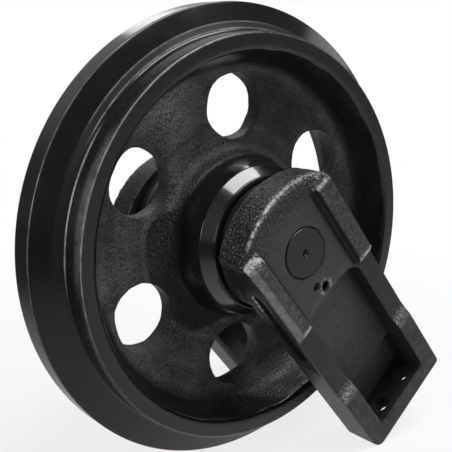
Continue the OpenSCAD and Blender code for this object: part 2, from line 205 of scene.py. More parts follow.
rays = sky.node("ShaderNodeLightPath").outputs
direction = sky.node("ShaderNodeSeparateXYZ", {0: sky.coordinates["Generated"]}).outputs
rise = sky.spread(direction["Z"], *BACK_RISE, kind="SMOOTHSTEP")
turn = sky.spread(direction["Y"], *BACK_TURN, to_high=BACK_LEVEL, kind="SMOOTHSTEP")
room_level = sky.plus(sky.times(rise, turn), ROOM_LEVEL)
unseen = sky.blend(sky.mirrored(rays), sky_light(FILL_LEVEL), sky_light(room_level))
seen = sky.blend(rays["Is Camera Ray"], unseen, sky_light(WHITE))
sky.node("ShaderNodeOutputWorld", {"Surface": seen})
scene.world = sky.owner
scene.view_settings.view_transform = "Standard"
print("backdrop: fill", FILL_LEVEL, "and room", ROOM_LEVEL)

# %% [markdown]
# ## Floor
# The ground is a sheet of white paper. The camera sees it glow almost white, with room left for the
# object's shadow, which fades out some way off. The paint mirrors it bright near the object and dim further
# away, as paper looks under one lamp. One material does all this, because it can ask what kind of ray has
# reached it.

# %% Floor
FLOOR_SIZE, FLOOR_COLOUR = 12.0, 0.82
SHADOW_GLOW, SHADOW_REACH = 0.80, (0.45, 0.95)
PAPER_MIDDLE, PAPER_REACH = (0.50, -0.20, 0.0), (0.60, 1.30)
PAPER_LEVEL, FAR_LEVEL = 0.70, 0.08


def white_floor():
    f = new_finish("white_floor")
    rays = f.node("ShaderNodeLightPath").outputs
    away = f.node("ShaderNodeVectorMath", {0: f.place}, operation="LENGTH").outputs["Value"]
    from_paper = f.node("ShaderNodeVectorMath", {0: f.place, 1: PAPER_MIDDLE}, operation="DISTANCE")
    paper_level = f.spread(from_paper.outputs["Value"], *PAPER_REACH, PAPER_LEVEL, FAR_LEVEL)
    glow_level = f.math("MAXIMUM", paper_level, rays["Is Camera Ray"])
    glow = f.node("ShaderNodeEmission", {"Color": grey(1.0), "Strength": glow_level}).outputs[0]
    paper = f.node("ShaderNodeBsdfDiffuse", {"Color": grey(FLOOR_COLOUR)}).outputs[0]
    looked_at = f.times(rays["Is Camera Ray"], f.spread(away, *SHADOW_REACH, SHADOW_GLOW, 1.0))
    shown = f.blend(f.math("MAXIMUM", f.mirrored(rays), looked_at), paper, glow)
    f.node("ShaderNodeOutputMaterial", {"Surface": shown})
    return f.owner


half = FLOOR_SIZE / 2
corners = [(-half, -half, floor_z), (half, -half, floor_z), (half, half, floor_z), (-half, half, floor_z)]
floor_mesh = bpy.data.meshes.new("floor")
floor_mesh.from_pydata(corners, [], [(0, 1, 2, 3)])
floor_mesh.materials.append(white_floor())
floor = add_object("floor", floor_mesh)
print("floor at", round(floor_z, 4))

# %% [markdown]
# ## Lamps
# Area lamps stand for the studio's soft boxes. The overhead box lights the top of the flange, the collar
# and the pads. The boxes behind and at the right pick out the rim, the strips in front and at the left draw
# thin lights along edges, and a broad weak fill keeps the left side from going black. A lamp is a rectangle
# that faces the wheel's middle, so its place, size and power are all there is to set.

# %% Lamps
# name: place, size in two directions, power in watts
LAMPS = {
    "overhead_box": ((0.28, -0.54, 1.60), (1.45, 0.80), 28.0),
    "back_box": ((1.00, 1.55, 1.20), (1.2, 0.8), 7.0),
    "right_box": ((2.05, -0.30, 0.82), (0.6, 0.5), 1.4),
    "front_strip": ((1.15, -1.85, 0.12), (0.40, 0.70), 1.8),
    "left_fill": ((-1.6, -1.3, 0.9), (1.8, 1.8), 1.2),
    "left_strip": ((-1.95, -0.35, 0.50), (0.20, 0.80), 8.0),
}


def add_lamp(name, place, size, power):
    data = bpy.data.lights.new(name, "AREA")
    data.shape = "RECTANGLE"
    data.size, data.size_y = size
    data.energy = power
    lamp = add_object(name, data)
    lamp.location = place
    lamp.rotation_euler = (-Vector(place)).to_track_quat("-Z", "Y").to_euler()
    lamp.visible_camera = False
    print("lamp", name, power, "W")


for lamp_name, lamp in LAMPS.items():
    add_lamp(lamp_name, *lamp)

# %% [markdown]
# ## The wheel's section
# The wheel is a casting that is turned on its treads, flange and hub ends. A lathe shape is best made from
# its section: a few corners, each with the radius that the pattern maker or the turner gave it. Radius
# comes first and then the distance from the wheel's middle, both in metres.

# %% Sizes of the wheel
FLANGE_R, FLANGE_TOP_HALF_W = 0.235, 0.013
TREAD_R, FLANGE_FOOT_HALF_W = 0.206, 0.027
RIM_HALF_W, RIM_END_R, RIM_DRAFT = 0.052, 0.189, math.radians(20)
WEB_HALF_T = 0.0095
HUB_R, HUB_HALF_W, HUB_END_R = 0.0768, 0.0625, 0.0682
HUB_TAPER_L, HUB_TIP_L, HUB_DRAFT = 0.0125, 0.002, math.radians(10)
SEAL_MOUTH_R, SEAL_FLOOR_R, SEAL_FLOOR = 0.0449, 0.0420, 0.049
BUSH_SEAT_R, BUSH_SEAT_END, CHAMBER_R = 0.02907, 0.019, 0.03407
HOLE_COUNT, HOLE_R, HOLE_CIRCLE_R = 6, 0.033, 0.133

rim_root_r = RIM_END_R - (RIM_HALF_W - WEB_HALF_T) * math.tan(RIM_DRAFT)
shoulder = HUB_HALF_W - HUB_TAPER_L
hub_root_r = HUB_R + (shoulder - WEB_HALF_T) * math.tan(HUB_DRAFT)

# A band at the foot of the flange's flank is faced with the tread, and thin lines bound it
BAND_IN_R, BAND_OUT_R = 0.2093, 0.2155
LINE_STEPS = (0.0012, 0.0006, 0.0003, 0.0, -0.0003, -0.0006, -0.0012)
INNER_LINE_STEPS = LINE_STEPS[:5]


def on_flank(radius):
    """A point of the section on the flange's flank, at a radius."""
    share = (FLANGE_R - radius) / (FLANGE_R - TREAD_R)
    return (radius, FLANGE_TOP_HALF_W + share * (FLANGE_FOOT_HALF_W - FLANGE_TOP_HALF_W), 0.0)


# Radii of the roundings, from the flange inwards
FLANGE_ROUND, FOOT_ROUND, TREAD_ROUND, RIM_ROUND = 0.0022, 0.0045, 0.0028, 0.0070
RIM_ROOT_ROUND, HUB_ROOT_ROUND = 0.026, 0.024
SHOULDER_ROUND, HUB_END_ROUND, SEAL_MOUTH_ROUND = 0.0012, 0.0008, 0.0006

# Corners of one half: radius, distance from the middle, and radius of the rounding
SECTION = [
    (FLANGE_R, 0.0, 0.0),
    (FLANGE_R, FLANGE_TOP_HALF_W, FLANGE_ROUND),
    *(on_flank(BAND_OUT_R + step) for step in LINE_STEPS),
    *(on_flank(BAND_IN_R + step) for step in INNER_LINE_STEPS),
    (TREAD_R, FLANGE_FOOT_HALF_W, FOOT_ROUND),
    (TREAD_R, RIM_HALF_W, TREAD_ROUND),
    (RIM_END_R, RIM_HALF_W, RIM_ROUND),
    (rim_root_r, WEB_HALF_T, RIM_ROOT_ROUND),
    (hub_root_r, WEB_HALF_T, HUB_ROOT_ROUND),
    (HUB_R, shoulder, SHOULDER_ROUND),
    (HUB_END_R, HUB_HALF_W - HUB_TIP_L, HUB_END_ROUND),
    (HUB_END_R, HUB_HALF_W, HUB_END_ROUND),
    (SEAL_MOUTH_R, HUB_HALF_W, SEAL_MOUTH_ROUND),
    (SEAL_FLOOR_R, SEAL_FLOOR, 0.0),
    (BUSH_SEAT_R, SEAL_FLOOR, 0.0),
    (BUSH_SEAT_R, BUSH_SEAT_END, 0.0),
    (CHAMBER_R, BUSH_SEAT_END, 0.0),
    (CHAMBER_R, 0.0, 0.0),
]
print("wheel section:", len(SECTION), "corners in one half")

# %% [markdown]
# ## Rounded corners
# A bevel modifier gives one width to all edges. Here each corner has its own radius, so the arcs are worked
# out in the section, before it is turned: an arc starts and ends where it touches the two straight lines
# beside it.

# %% Rounded section
SECTION_STEP = 0.0035
ARC_STEPS, ARC_DENSITY = 8, 1.5


def corner_arc(before, here, after, radius, step):
    """Points of the arc that rounds the corner here, which lies between two others."""
    back, ahead = before - here, after - here
    back, ahead = back / np.linalg.norm(back), ahead / np.linalg.norm(ahead)
    half_angle = math.acos(float(back @ ahead)) / 2
    bisector = (back + ahead) / np.linalg.norm(back + ahead)
    centre = here + bisector * radius / math.sin(half_angle)
    first = here + back * radius / math.tan(half_angle) - centre
    last = here + ahead * radius / math.tan(half_angle) - centre
    swing = math.atan2(first[0] * last[1] - first[1] * last[0], first @ last)
    count = max(ARC_STEPS, math.ceil(abs(swing) * radius / step * ARC_DENSITY))
    arc = []
    for i in range(count + 1):
        c, s = math.cos(swing * i / count), math.sin(swing * i / count)
        arc.append(centre + np.array([c * first[0] - s * first[1], s * first[0] + c * first[1]]))
    return arc


def rounded_path(corners, step):
    """Points along a line through corners, with an arc at each and none further apart than step."""
    points = [np.array(c[:2]) for c in corners]
    path = [points[0]]
    for before, here, after, (_, _, radius) in zip(points, points[1:], points[2:], corners[1:]):
        path += corner_arc(before, here, after, radius, step) if radius else [here]
    path.append(points[-1])
    dense = [path[0]]
    for here, after in zip(path, path[1:]):
        count = max(1, math.ceil(np.linalg.norm(after - here) / step))
        dense += [here + (after - here) * i / count for i in range(1, count + 1)]
    return np.array(dense)


section = rounded_path(SECTION, SECTION_STEP)
print("wheel section:", len(section), "points in one half")

# %% [markdown]
# ## The turned part
# Outside and inside the web the wheel is a plain turned shape, so its section is swept round the axis in
# rings. A screw modifier would do the same, but rings made one by one can be joined, point by point, to the
# net of the web. The section is cut at the two circles where they meet.

# %% Strips beside the web
WEB_IN_R, WEB_OUT_R = 0.096, 0.170

on_recess = (section[:, 1] <= shoulder) & (section[:, 0] <= RIM_END_R) & (section[:, 0] >= HUB_R)
recess_part = section[on_recess]
recess_part = recess_part[np.argsort(recess_part[:, 0])]


def web_height(radius):
    """Distance of the recess's surface from the wheel's middle, at a radius."""
    return np.interp(radius, recess_part[:, 0], recess_part[:, 1])


on_web = np.nonzero((section[:, 1] < shoulder) & (section[:, 0] < RIM_END_R))[0]
outer_strip = list(section[:on_web[0]]) + [section[i] for i in on_web if section[i][0] > WEB_OUT_R]
outer_strip.append(np.array([WEB_OUT_R, web_height(WEB_OUT_R)]))
inner_start = next(i for i in on_web if section[i][0] < WEB_IN_R)
inner_strip = [np.array([WEB_IN_R, web_height(WEB_IN_R)])] + list(section[inner_start:])
print("turned strips:", len(outer_strip), "and", len(inner_strip), "points")

# %% Rings and strips
SEGMENTS = 384


def add_ring(mesh, points):
    return [mesh.verts.new(p) for p in points]


def bridge(mesh, first, second):
    """Faces between two closed rings of as many points."""
    for i in range(len(first)):
        j = (i + 1) % len(first)
        mesh.faces.new((first[i], first[j], second[j], second[i]))


def turned_strip(mesh, profile):
    turns = [2 * math.pi * i / SEGMENTS for i in range(SEGMENTS)]
    rings = [add_ring(mesh, [(r * math.cos(t), -w, r * math.sin(t)) for t in turns]) for r, w in profile]
    for first, second in zip(rings, rings[1:]):
        bridge(mesh, first, second)


wheel_net = bmesh.new()
turned_strip(wheel_net, outer_strip)
turned_strip(wheel_net, inner_strip)
print("turned strips:", len(wheel_net.faces), "faces")

# %% [markdown]
# ## The web and its holes
# Cutting six holes with a boolean leaves ragged edges that can't be rounded. Each sixth of the web is
# instead a net of rings that grow from the hole's edge to the border of its sector, and the rings go on
# round the hole's edge and down its wall. The net meets the turned part along two circles.

# %% One sixth of the web
SIDE_STEPS, WEB_RINGS, RING_CROWDING = 24, 20, 1.3
HOLE_EDGE_R, HOLE_EDGE_STEPS, HOLE_WALL_STEPS = 0.0028, 4, 4


def sector_border(middle):
    """Points round one sector of the web, in its plane."""
    arc_steps = SEGMENTS // HOLE_COUNT
    start, stop = middle - math.pi / HOLE_COUNT, middle + math.pi / HOLE_COUNT
    border = [(WEB_IN_R, start + (stop - start) * i / arc_steps) for i in range(arc_steps)]
    border += [(WEB_IN_R + (WEB_OUT_R - WEB_IN_R) * i / SIDE_STEPS, stop) for i in range(SIDE_STEPS)]
    border += [(WEB_OUT_R, stop + (start - stop) * i / arc_steps) for i in range(arc_steps)]
    border += [(WEB_OUT_R + (WEB_IN_R - WEB_OUT_R) * i / SIDE_STEPS, start) for i in range(SIDE_STEPS)]
    return np.array([(r * math.cos(t), r * math.sin(t)) for r, t in border])


def web_sector(mesh, middle):
    centre = HOLE_CIRCLE_R * np.array([math.cos(middle), math.sin(middle)])
    border = sector_border(middle)
    outwards = border - centre
    outwards /= np.linalg.norm(outwards, axis=1)[:, None]
    edge = centre + outwards * (HOLE_R + HOLE_EDGE_R)
    rings = []
    for i in range(WEB_RINGS, -1, -1):
        share = (i / WEB_RINGS) ** RING_CROWDING
        flat = edge + (border - edge) * share
        rings.append((flat, web_height(np.hypot(*flat.T))))
    edge_height = rings[-1][1]
    for i in range(1, HOLE_EDGE_STEPS + 1):
        turn = math.pi / 2 * i / HOLE_EDGE_STEPS
        flat = centre + outwards * (HOLE_R + HOLE_EDGE_R * (1 - math.sin(turn)))
        rings.append((flat, edge_height - HOLE_EDGE_R * (1 - math.cos(turn))))
    wall = centre + outwards * HOLE_R
    for i in range(1, HOLE_WALL_STEPS + 1):
        rings.append((wall, (edge_height - HOLE_EDGE_R) * (1 - i / HOLE_WALL_STEPS)))
    made = [add_ring(mesh, [(x, -w, z) for (x, z), w in zip(flat, height)]) for flat, height in rings]
    for first, second in zip(made, made[1:]):
        bridge(mesh, first, second)


FIRST_HOLE = math.pi / 2
for hole in range(HOLE_COUNT):
    web_sector(wheel_net, FIRST_HOLE + 2 * math.pi * hole / HOLE_COUNT)
print("near half:", len(wheel_net.faces), "faces")

# %% [markdown]
# ## Both halves
# The wheel's far side mirrors its near side. The near half is copied and flipped across the middle, and the
# doubled points where the strips, sectors and halves meet are merged. What is left is one closed net
# without an open edge.

# %% Wheel mesh
WELD_REACH = 1e-6

half_wheel = list(wheel_net.verts) + list(wheel_net.faces)
copied = bmesh.ops.duplicate(wheel_net, geom=half_wheel)["geom"]
far_verts = [g for g in copied if isinstance(g, bmesh.types.BMVert)]
bmesh.ops.scale(wheel_net, vec=(1, -1, 1), verts=far_verts)
bmesh.ops.remove_doubles(wheel_net, verts=wheel_net.verts, dist=WELD_REACH)
bmesh.ops.recalc_face_normals(wheel_net, faces=wheel_net.faces)
wheel_mesh = bpy.data.meshes.new("idler_wheel_casting")
wheel_net.to_mesh(wheel_mesh)
open_edges = sum(not e.is_manifold for e in wheel_net.edges)
wheel_net.free()
print("wheel mesh:", len(wheel_mesh.polygons), "faces,", open_edges, "open edges")

# %% [markdown]
# ## Points as arrays
# Moving a hundred thousand points one at a time is slow. A mesh hands over all its points as one array, and
# takes them back the same way. A mask is an array too, with one number per point, and is kept on the mesh
# for the finish to read. Smooth steps, bumps, plateaus and bells are the few curves that all the masks
# below are made of.


# %% Skin helpers
def points_of(mesh, kind="co"):
    flat = np.empty(len(mesh.vertices) * 3, np.float32)
    mesh.vertices.foreach_get(kind, flat)
    return flat.reshape(-1, 3).astype(float)


def normals_of(mesh):
    return points_of(mesh, "normal")


def set_points(mesh, points):
    mesh.vertices.foreach_set("co", points.astype(np.float32).ravel())
    mesh.update()


def set_mask(mesh, name, values):
    layer = mesh.attributes.get(name) or mesh.attributes.new(name, "FLOAT", "POINT")
    layer.data.foreach_set("value", np.asarray(values, np.float32))


def lumps(points, size, shift=0.0):
    """Smooth noise from about -1 to 1 at each point, with lumps of that size in metres."""
    offset = Vector((shift, shift, shift))
    return np.array([noise.noise(Vector(p) / size + offset) for p in points])


def smooth_step(values, low, high):
    share = np.clip((values - low) / (high - low), 0, 1)
    return share * share * (3 - 2 * share)


def bump_at(values, place, width):
    """1 at a place, falling off to 0 at the width on either side."""
    return smooth_step(width - np.abs(values - place), 0, width)


def plateau(values, start, full, fall, end):
    """0 up to start, 1 from full to fall, and 0 again from end."""
    return smooth_step(values, start, full) * smooth_step(-values, -end, -fall)


def bell(distance, reach):
    """1 at no distance, with a bell's fall beside it."""
    return np.exp(-(distance / reach) ** 2)


print("wheel net:", len(points_of(wheel_mesh)), "points")

# %% [markdown]
# ## Cast skin
# Sand leaves a casting a little lumpy. Lumps wider than a few millimetres change the outline of a
# highlight, so they are moved in the mesh, and only the finer grain is left to the finish. A mask says how
# much of the skin is cast: all of the recess, and nothing where the lathe has been.

# %% Wheel skin
LUMP_SIZE, LUMP_HEIGHT = 0.026, 0.00130
PIT_SIZE, PIT_HEIGHT, PIT_SHIFT = 0.0065, 0.00032, 7.3
FOLD_SIZE, FOLD_HEIGHT, FOLD_SHIFT = 0.012, 0.0007, 4.1
FOLD_TURN, FOLD_LEAN = 0.040, 0.6
RIM_FADE, HUB_FADE = (0.001, 0.006), (0.0006, 0.003)
WALL_SLACK, WEB_EDGE_R, COLLAR_SLACK = 0.0004, 0.172, 0.001

points = points_of(wheel_mesh)
radii = np.hypot(points[:, 0], points[:, 2])
reach = np.abs(points[:, 1])
rim_wall_r = RIM_END_R - (RIM_HALF_W - reach) * math.tan(RIM_DRAFT)
between_walls = (radii > HUB_R - WALL_SLACK) & (radii < rim_wall_r + WALL_SLACK)
in_recess = between_walls | (radii < WEB_EDGE_R) & (radii > hub_root_r)
cast = in_recess * smooth_step(RIM_HALF_W - reach, *RIM_FADE) * smooth_step(radii - HUB_R, *HUB_FADE)

# Folds run out from the hub like spokes: their noise is stretched along the radius
spokes = FOLD_TURN * points / radii[:, None]
spokes[:, 1] = radii + FOLD_LEAN * points[:, 1]
height = LUMP_HEIGHT * lumps(points, LUMP_SIZE)
height += PIT_HEIGHT * lumps(points, PIT_SIZE, PIT_SHIFT)
height += FOLD_HEIGHT * lumps(spokes, FOLD_SIZE, FOLD_SHIFT)
set_points(wheel_mesh, points + normals_of(wheel_mesh) * (height * cast)[:, None])
set_mask(wheel_mesh, "cast", cast)
set_mask(wheel_mesh, "collar", radii < HUB_R + COLLAR_SLACK)
print("wheel skin:", round(float(cast.mean()), 2), "of the points are cast")

# %% [markdown]
# ## Rubbed edges and painted highlights
# Paint is thin on an edge and is rubbed off there. The edges also carry painted highlights, strongest at the
# upper left, where the lamps catch them, and widest on the left tread's edge. Two fine lines on the flange's
# flank and one at its foot on the left are painted highlights, and a soft streak on the left tread is a
# painted reflection. They could be drawn with a texture, but an image would need unwrapping. A mask per point
# follows
# the turned shape by itself: it only asks how far a point lies from a ring, and at which bearing round the
# wheel, in degrees from +X towards +Z.

# %% Rubbed edges and painted highlights
EDGE_RINGS = (
    (FLANGE_R, FLANGE_TOP_HALF_W),
    (TREAD_R - 0.0010, RIM_HALF_W + 0.0003),
    (RIM_END_R, RIM_HALF_W),
)
EDGE_INSET, EDGE_REACH, EDGE_WIDER = 0.0006, 0.0005, 0.15
LINE_REACH, LINE_FADE, BAND_FADE = 0.00045, 0.0003, 0.002
FOOT_HIGHLIGHT_RING, FOOT_REACH = (0.2067, 0.0275), 0.0007
TREAD_SLACK, STREAK_REACH, STREAK_REFLECTION_SHARE = 0.0008, (0.039, 0.047), 0.22
FLANK_START, FLANK_END, FACED_START = TREAD_R + 0.0025, FLANGE_TOP_HALF_W + 0.002, TREAD_R + 0.002
FAR_SIDE_SHARE, OUTER_SHARE, OUTER_DROP = 0.25, 0.6, 0.4

bearing = np.degrees(np.arctan2(points[:, 2], points[:, 0])) % 360


def towards(middle, half, fade):
    """1 near a bearing, fading out to 0 at half on either side."""
    return smooth_step(half - np.abs(bearing - middle), 0, fade)


on_tread = np.abs(radii - TREAD_R) < TREAD_SLACK
on_flank_face = (radii > FLANK_START) & (reach > FLANK_END)
# Painted highlight: edges are brighter towards the upper left, where the lamps catch them.
highlit_side = FAR_SIDE_SHARE + (1 - FAR_SIDE_SHARE) * towards(145, 60, 30)
upper_left = plateau(bearing, 70, 95, 138, 152)
left = plateau(bearing, 140, 150, 174, 190)

nearest = np.min([np.hypot(radii - r + EDGE_INSET, reach - w + EDGE_INSET) for r, w in EDGE_RINGS], axis=0)
# Painted highlight: wider on the edge of the left tread.
wider = 1 + EDGE_WIDER * towards(158, 30, 20) * (radii < TREAD_R + 0.001)
edge = bell(nearest, EDGE_REACH * wider) * highlit_side
outer_share = OUTER_SHARE - OUTER_DROP * smooth_step(bearing, 135, 155)
# Painted highlights: two thin lines along the flange's flank at its upper left.
flank_highlights = outer_share * bell(radii - BAND_OUT_R, LINE_REACH) + bell(radii - BAND_IN_R, LINE_REACH)
edge += flank_highlights * on_flank_face * upper_left
# Painted highlight at the flank's foot on the left, and a painted reflection as a streak on the left tread.
foot_highlight = bell(np.hypot(radii - FOOT_HIGHLIGHT_RING[0], reach - FOOT_HIGHLIGHT_RING[1]), FOOT_REACH)
edge += left * (foot_highlight + STREAK_REFLECTION_SHARE * on_tread * smooth_step(reach, *STREAK_REACH))
set_mask(wheel_mesh, "edge", np.clip(edge, 0, 1))

band = plateau(radii, BAND_IN_R, BAND_IN_R + LINE_FADE, BAND_OUT_R, BAND_OUT_R + LINE_FADE)
set_mask(wheel_mesh, "band", on_flank_face * band * smooth_step(-bearing, -172, -140))
faced = (radii > FACED_START) * smooth_step(-radii, -BAND_OUT_R - BAND_FADE, -BAND_OUT_R)
set_mask(wheel_mesh, "faced", left * faced)
print("rubbed edges:", int((edge > 0.5).sum()), "points")

# %% [markdown]
# ## Soil, grain, dust and painted sheen
# Brown soil has dried on the treads. The sand's grain is coarse on the open web and faint in the fillets.
# Pale dust lies on the web's open face, and the same pale coat stands for light too. It reaches close to the
# hub above, where a band of it is painted glints, and stays further out below, which leaves the hub's lower
# side as painted shade. A soft patch between the upper left holes is a painted sheen. It is thinner between
# the holes above and at the upper right. A few soft patches, each with its place and reach, say this better
# than noise alone, which knows no place.

# %% Soil, dust and painted sheen
SOIL_START, END_SLACK = (FLANGE_FOOT_HALF_W + 0.002, FLANGE_FOOT_HALF_W + 0.006), 0.0006
GRAIN_R, FILLET_GRAIN, END_GRAIN, END_SOIL = (0.081, 0.090, 0.160, 0.176), 0.2, 0.30, 0.5
DUST_START, DUST_LOWER, DUST_FADE = 0.085, 0.024, 0.006
DUST_END, DUST_HALF_W, DUST_SHARE = (0.166, 0.178), 0.024, 0.28
SPOT_X, SPOT_Z, SPOT_REACH, SHEEN_SPOT_SHARE = -0.086, 0.134, 0.030, 0.90
BY_HUB, HUB_GLINT_SHARE = (0.095, 0.014), 0.12
BETWEEN_HOLES, BETWEEN_SHARE = (0.120, 0.020), 0.08
UPPER_RIGHT, UPPER_RIGHT_SHARE = (62, 42), 0.13
WAVE_SIZE, WAVE_SHIFT, WAVE_SHARE = 0.020, 2.7, 0.5

on_rim_end = (reach > RIM_HALF_W - END_SLACK) & (radii > RIM_END_R)
set_mask(wheel_mesh, "soil", np.maximum(on_tread * smooth_step(reach, *SOIL_START), END_SOIL * on_rim_end))
grain = FILLET_GRAIN + (1 - FILLET_GRAIN) * plateau(radii, *GRAIN_R)
set_mask(wheel_mesh, "grain", np.maximum(cast * grain, END_GRAIN * on_rim_end))

# Dust starts further out below, so the hub's lower side stays dark as painted shade.
dust_start = DUST_START + DUST_LOWER * plateau(bearing, 152, 172, 235, 262)
open_web = smooth_step(radii - dust_start, 0, DUST_FADE) * smooth_step(-radii, -DUST_END[1], -DUST_END[0])
# Painted sheen: a soft bright patch between the upper left holes.
sheen_spot = bell(np.hypot(points[:, 0] - SPOT_X, points[:, 2] - SPOT_Z), SPOT_REACH)
share = DUST_SHARE + SHEEN_SPOT_SHARE * sheen_spot
# Painted glints: a band by the hub at the upper left.
share += HUB_GLINT_SHARE * bump_at(radii, *BY_HUB) * towards(120, 40, 20)
share -= BETWEEN_SHARE * bump_at(radii, *BETWEEN_HOLES) * towards(120, 35, 20)
share -= UPPER_RIGHT_SHARE * bump_at(bearing, *UPPER_RIGHT)
waves = 1 + WAVE_SHARE * lumps(points, WAVE_SIZE, WAVE_SHIFT)
# The mask is real dust together with painted sheen and glints.
dust_and_sheen = np.clip(cast * open_web * (reach < DUST_HALF_W) * share * waves, 0, 1)
set_mask(wheel_mesh, "dust_and_sheen", dust_and_sheen)
print("dust: up to", round(float(dust_and_sheen.max()), 2))

# %% [markdown]
# ## A piece in place of its solid
# The wheel's mesh now stands for the wheel's solid. It rides on the body that the solid belongs to, so it
# turns when the wheel does.


# %% Wheel piece
def stand_in(mesh, node, body):
    """A smooth piece with the mesh's name that stands for a node of the frame."""
    mesh.shade_smooth()
    piece = add_object(mesh.name, mesh)
    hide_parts(node)
    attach(piece, body)
    print(piece.name, "stands for", node, "with", len(mesh.polygons), "faces")


stand_in(wheel_mesh, "idler_wheel", "wheel")

# %% [markdown]
# ## Black paint on the wheel
# One dipped coat of black paint covers everything. On the turned faces it is smooth and glossy, with faint
# rings left by the tool under it. On the cast web it follows the sand's grain, so each grain catches its
# own glint.

# %% Wheel paint
# Pale grey for rubbed paint and dust, and for the painted highlights, sheen and glints that share their
# masks.
PALE_WEAR_AND_HIGHLIGHT = grey(0.46, 0.02)
DRY_SOIL = (0.019, 0.017, 0.013, 1.0)


def lathe_place(f):
    """Coordinates of a turned surface: radius and distance along the axis, so that noise becomes rings."""
    parts = f.node("ShaderNodeSeparateXYZ", {0: f.place}).outputs
    squares = f.plus(f.times(parts["X"], parts["X"]), f.times(parts["Z"], parts["Z"]))
    return f.node("ShaderNodeCombineXYZ", {"X": f.math("SQRT", squares, 0.0), "Y": parts["Y"]}).outputs[0]


def wheel_paint():
    f = new_finish("wheel_black_paint")
    cast_mask, band = f.mask("cast"), f.mask("band")
    turned_mask = f.math("SUBTRACT", 1.0, cast_mask)
    grain, cloud, specks = f.noise(360.0, rough=0.6), f.noise(28.0), f.noise(520.0, 2.0, rough=0.5)
    rings, ripples = f.noise(900.0, 2.0, lathe_place(f)), f.noise(95.0, 2.0, lathe_place(f))
    blotches = f.spread(f.noise(260.0, 5.0, rough=0.75), 0.34, 0.70)
    chips = f.spread(f.noise(90.0, 6.0, rough=0.7), 0.34, 0.64, 0.25, 1.0)

    # Its fine specks are painted glints of the cast grain.
    patches = f.plus(f.times(f.plus(cloud, ripples), 0.45), f.times(specks, 0.9))
    soil = f.times(f.mask("soil"), blotches)
    # The dust coat is dust with painted sheen and glints, and the edge coat is rubbed paint with painted
    # highlights.
    colour = f.coats(grey(0.006), (
        (f.times(f.spread(patches, 0.70, 1.16), f.mask("dust_and_sheen")), PALE_WEAR_AND_HIGHLIGHT),
        (soil, DRY_SOIL),
        (band, f.mix(blotches, grey(0.010), grey(0.024))),
        (f.times(f.mask("edge"), chips), PALE_WEAR_AND_HIGHLIGHT),
    ))

    cast_rough = f.spread(grain, 0.3, 0.7, 0.25, 0.42)
    turned_rough = f.plus(f.spread(cloud, 0.3, 0.7, 0.13, 0.22), f.times(f.plus(soil, band), 0.14))
    turned_rough = f.plus(turned_rough, f.times(f.mask("faced"), 0.20))
    rough = f.plus(f.times(cast_rough, cast_mask), f.times(turned_rough, turned_mask))
    sand = f.bump(grain, f.mask("grain"), 0.0040)
    return f.surface({
        "Base Color": colour, "Roughness": rough,
        "Normal": f.bump(rings, f.times(turned_mask, 0.10), 0.0002, sand),
        "Coat Weight": f.times(turned_mask, f.mask("collar")), "Coat Roughness": 0.08, "Coat Normal": sand,
    })


wheel_mesh.materials.append(wheel_paint())
print("wheel paint:", wheel_mesh.materials[0].name)

# %% [markdown]
# ## The brackets
# Each bracket is a sand casting with machined faces: a round head that holds the shaft, and an arm that
# slides in the track frame. The two mirror each other. Their arms lie at an angle, resting on the floor, so
# all work on them is done in a frame of the arm's own, where along, across and outwards are plain axes.

# %% Arm frame
ARM_L, ARM_W, TIP_R = 0.257, 0.126, 0.012
SIDES = {"near": -1, "far": 1}

tip_along, tip_across = ARM_L - TIP_R, ARM_W / 2 - TIP_R
tip_reach = math.hypot(tip_along, tip_across)
arm_angle = math.asin((FLANGE_R - TIP_R) / tip_reach) - math.atan2(tip_across, tip_along)


def arm_frame(side):
    """Matrix from the arm's own frame (along, across, outwards) to the part's frame."""
    c, s = math.cos(arm_angle), math.sin(arm_angle)
    return Matrix(((c, s, 0, 0), (0, 0, SIDES[side], 0), (-s, c, 0, 0), (0, 0, 0, 1)))


print("arms point", round(math.degrees(arm_angle), 2), "degrees below the horizon")

# %% [markdown]
# ## An even net
# A solid's own net is made of long thin triangles, which can be neither rounded nor marked. The remesh
# modifier fills the shape with voxels and wraps an even net round them, and the flat faces stay flat
# because they lie along the frame.

# %% Even net
VOXEL = 0.00125


def weld(mesh):
    """Merges doubled points, drops the faces that vanish with them, and turns every face outwards."""
    net = bmesh.new()
    net.from_mesh(mesh)
    bmesh.ops.remove_doubles(net, verts=net.verts, dist=WELD_REACH)
    bmesh.ops.recalc_face_normals(net, faces=net.faces)
    net.to_mesh(mesh)
    net.free()


def even_copy(node, side):
    """The node's shape as an even net, in the arm's frame."""
    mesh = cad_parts[node].data.copy()
    mesh.transform(arm_frame(side).inverted())
    weld(mesh)
    helper = add_object("even_copy", mesh)
    voxels = helper.modifiers.new("voxels", "REMESH")
    voxels.mode = "VOXEL"
    voxels.voxel_size = VOXEL
    depsgraph = bpy.context.evaluated_depsgraph_get()
    made = bpy.data.meshes.new_from_object(helper.evaluated_get(depsgraph))
    bpy.data.objects.remove(helper)
    return made


net_meshes = {side: even_copy(side + "_bracket", side) for side in SIDES}
print("even nets:", [len(mesh.vertices) for mesh in net_meshes.values()], "points")

# %% [markdown]
# ## Rounded edges
# Averaging each point with its neighbours a few times rounds every edge, as the foundry does, and leaves
# flat faces as they are. A bevel would need clean edge loops, which voxels don't give. The rims of the
# drilled holes are spared, because a drill leaves them sharp.

# %% Rounded edges
ROUNDING_PASSES = 5
BOLT_PITCH, BOLT_LEVEL, BOLT_HOLE_R = 0.043, 0.1035, 0.00925
SHAFT_R, SHAFT_CHAMFER = 0.025, 0.002
PIT_PLACE, PIT_R = (0.047, -0.002), 0.00525
BOLT_ZONE, FACE_ZONE, FAR_OFF = 0.22, 0.10, 1.0
SPARED, LEAST_SHARE, MORE_SHARE = (0.0015, 0.004), 0.12, 0.38


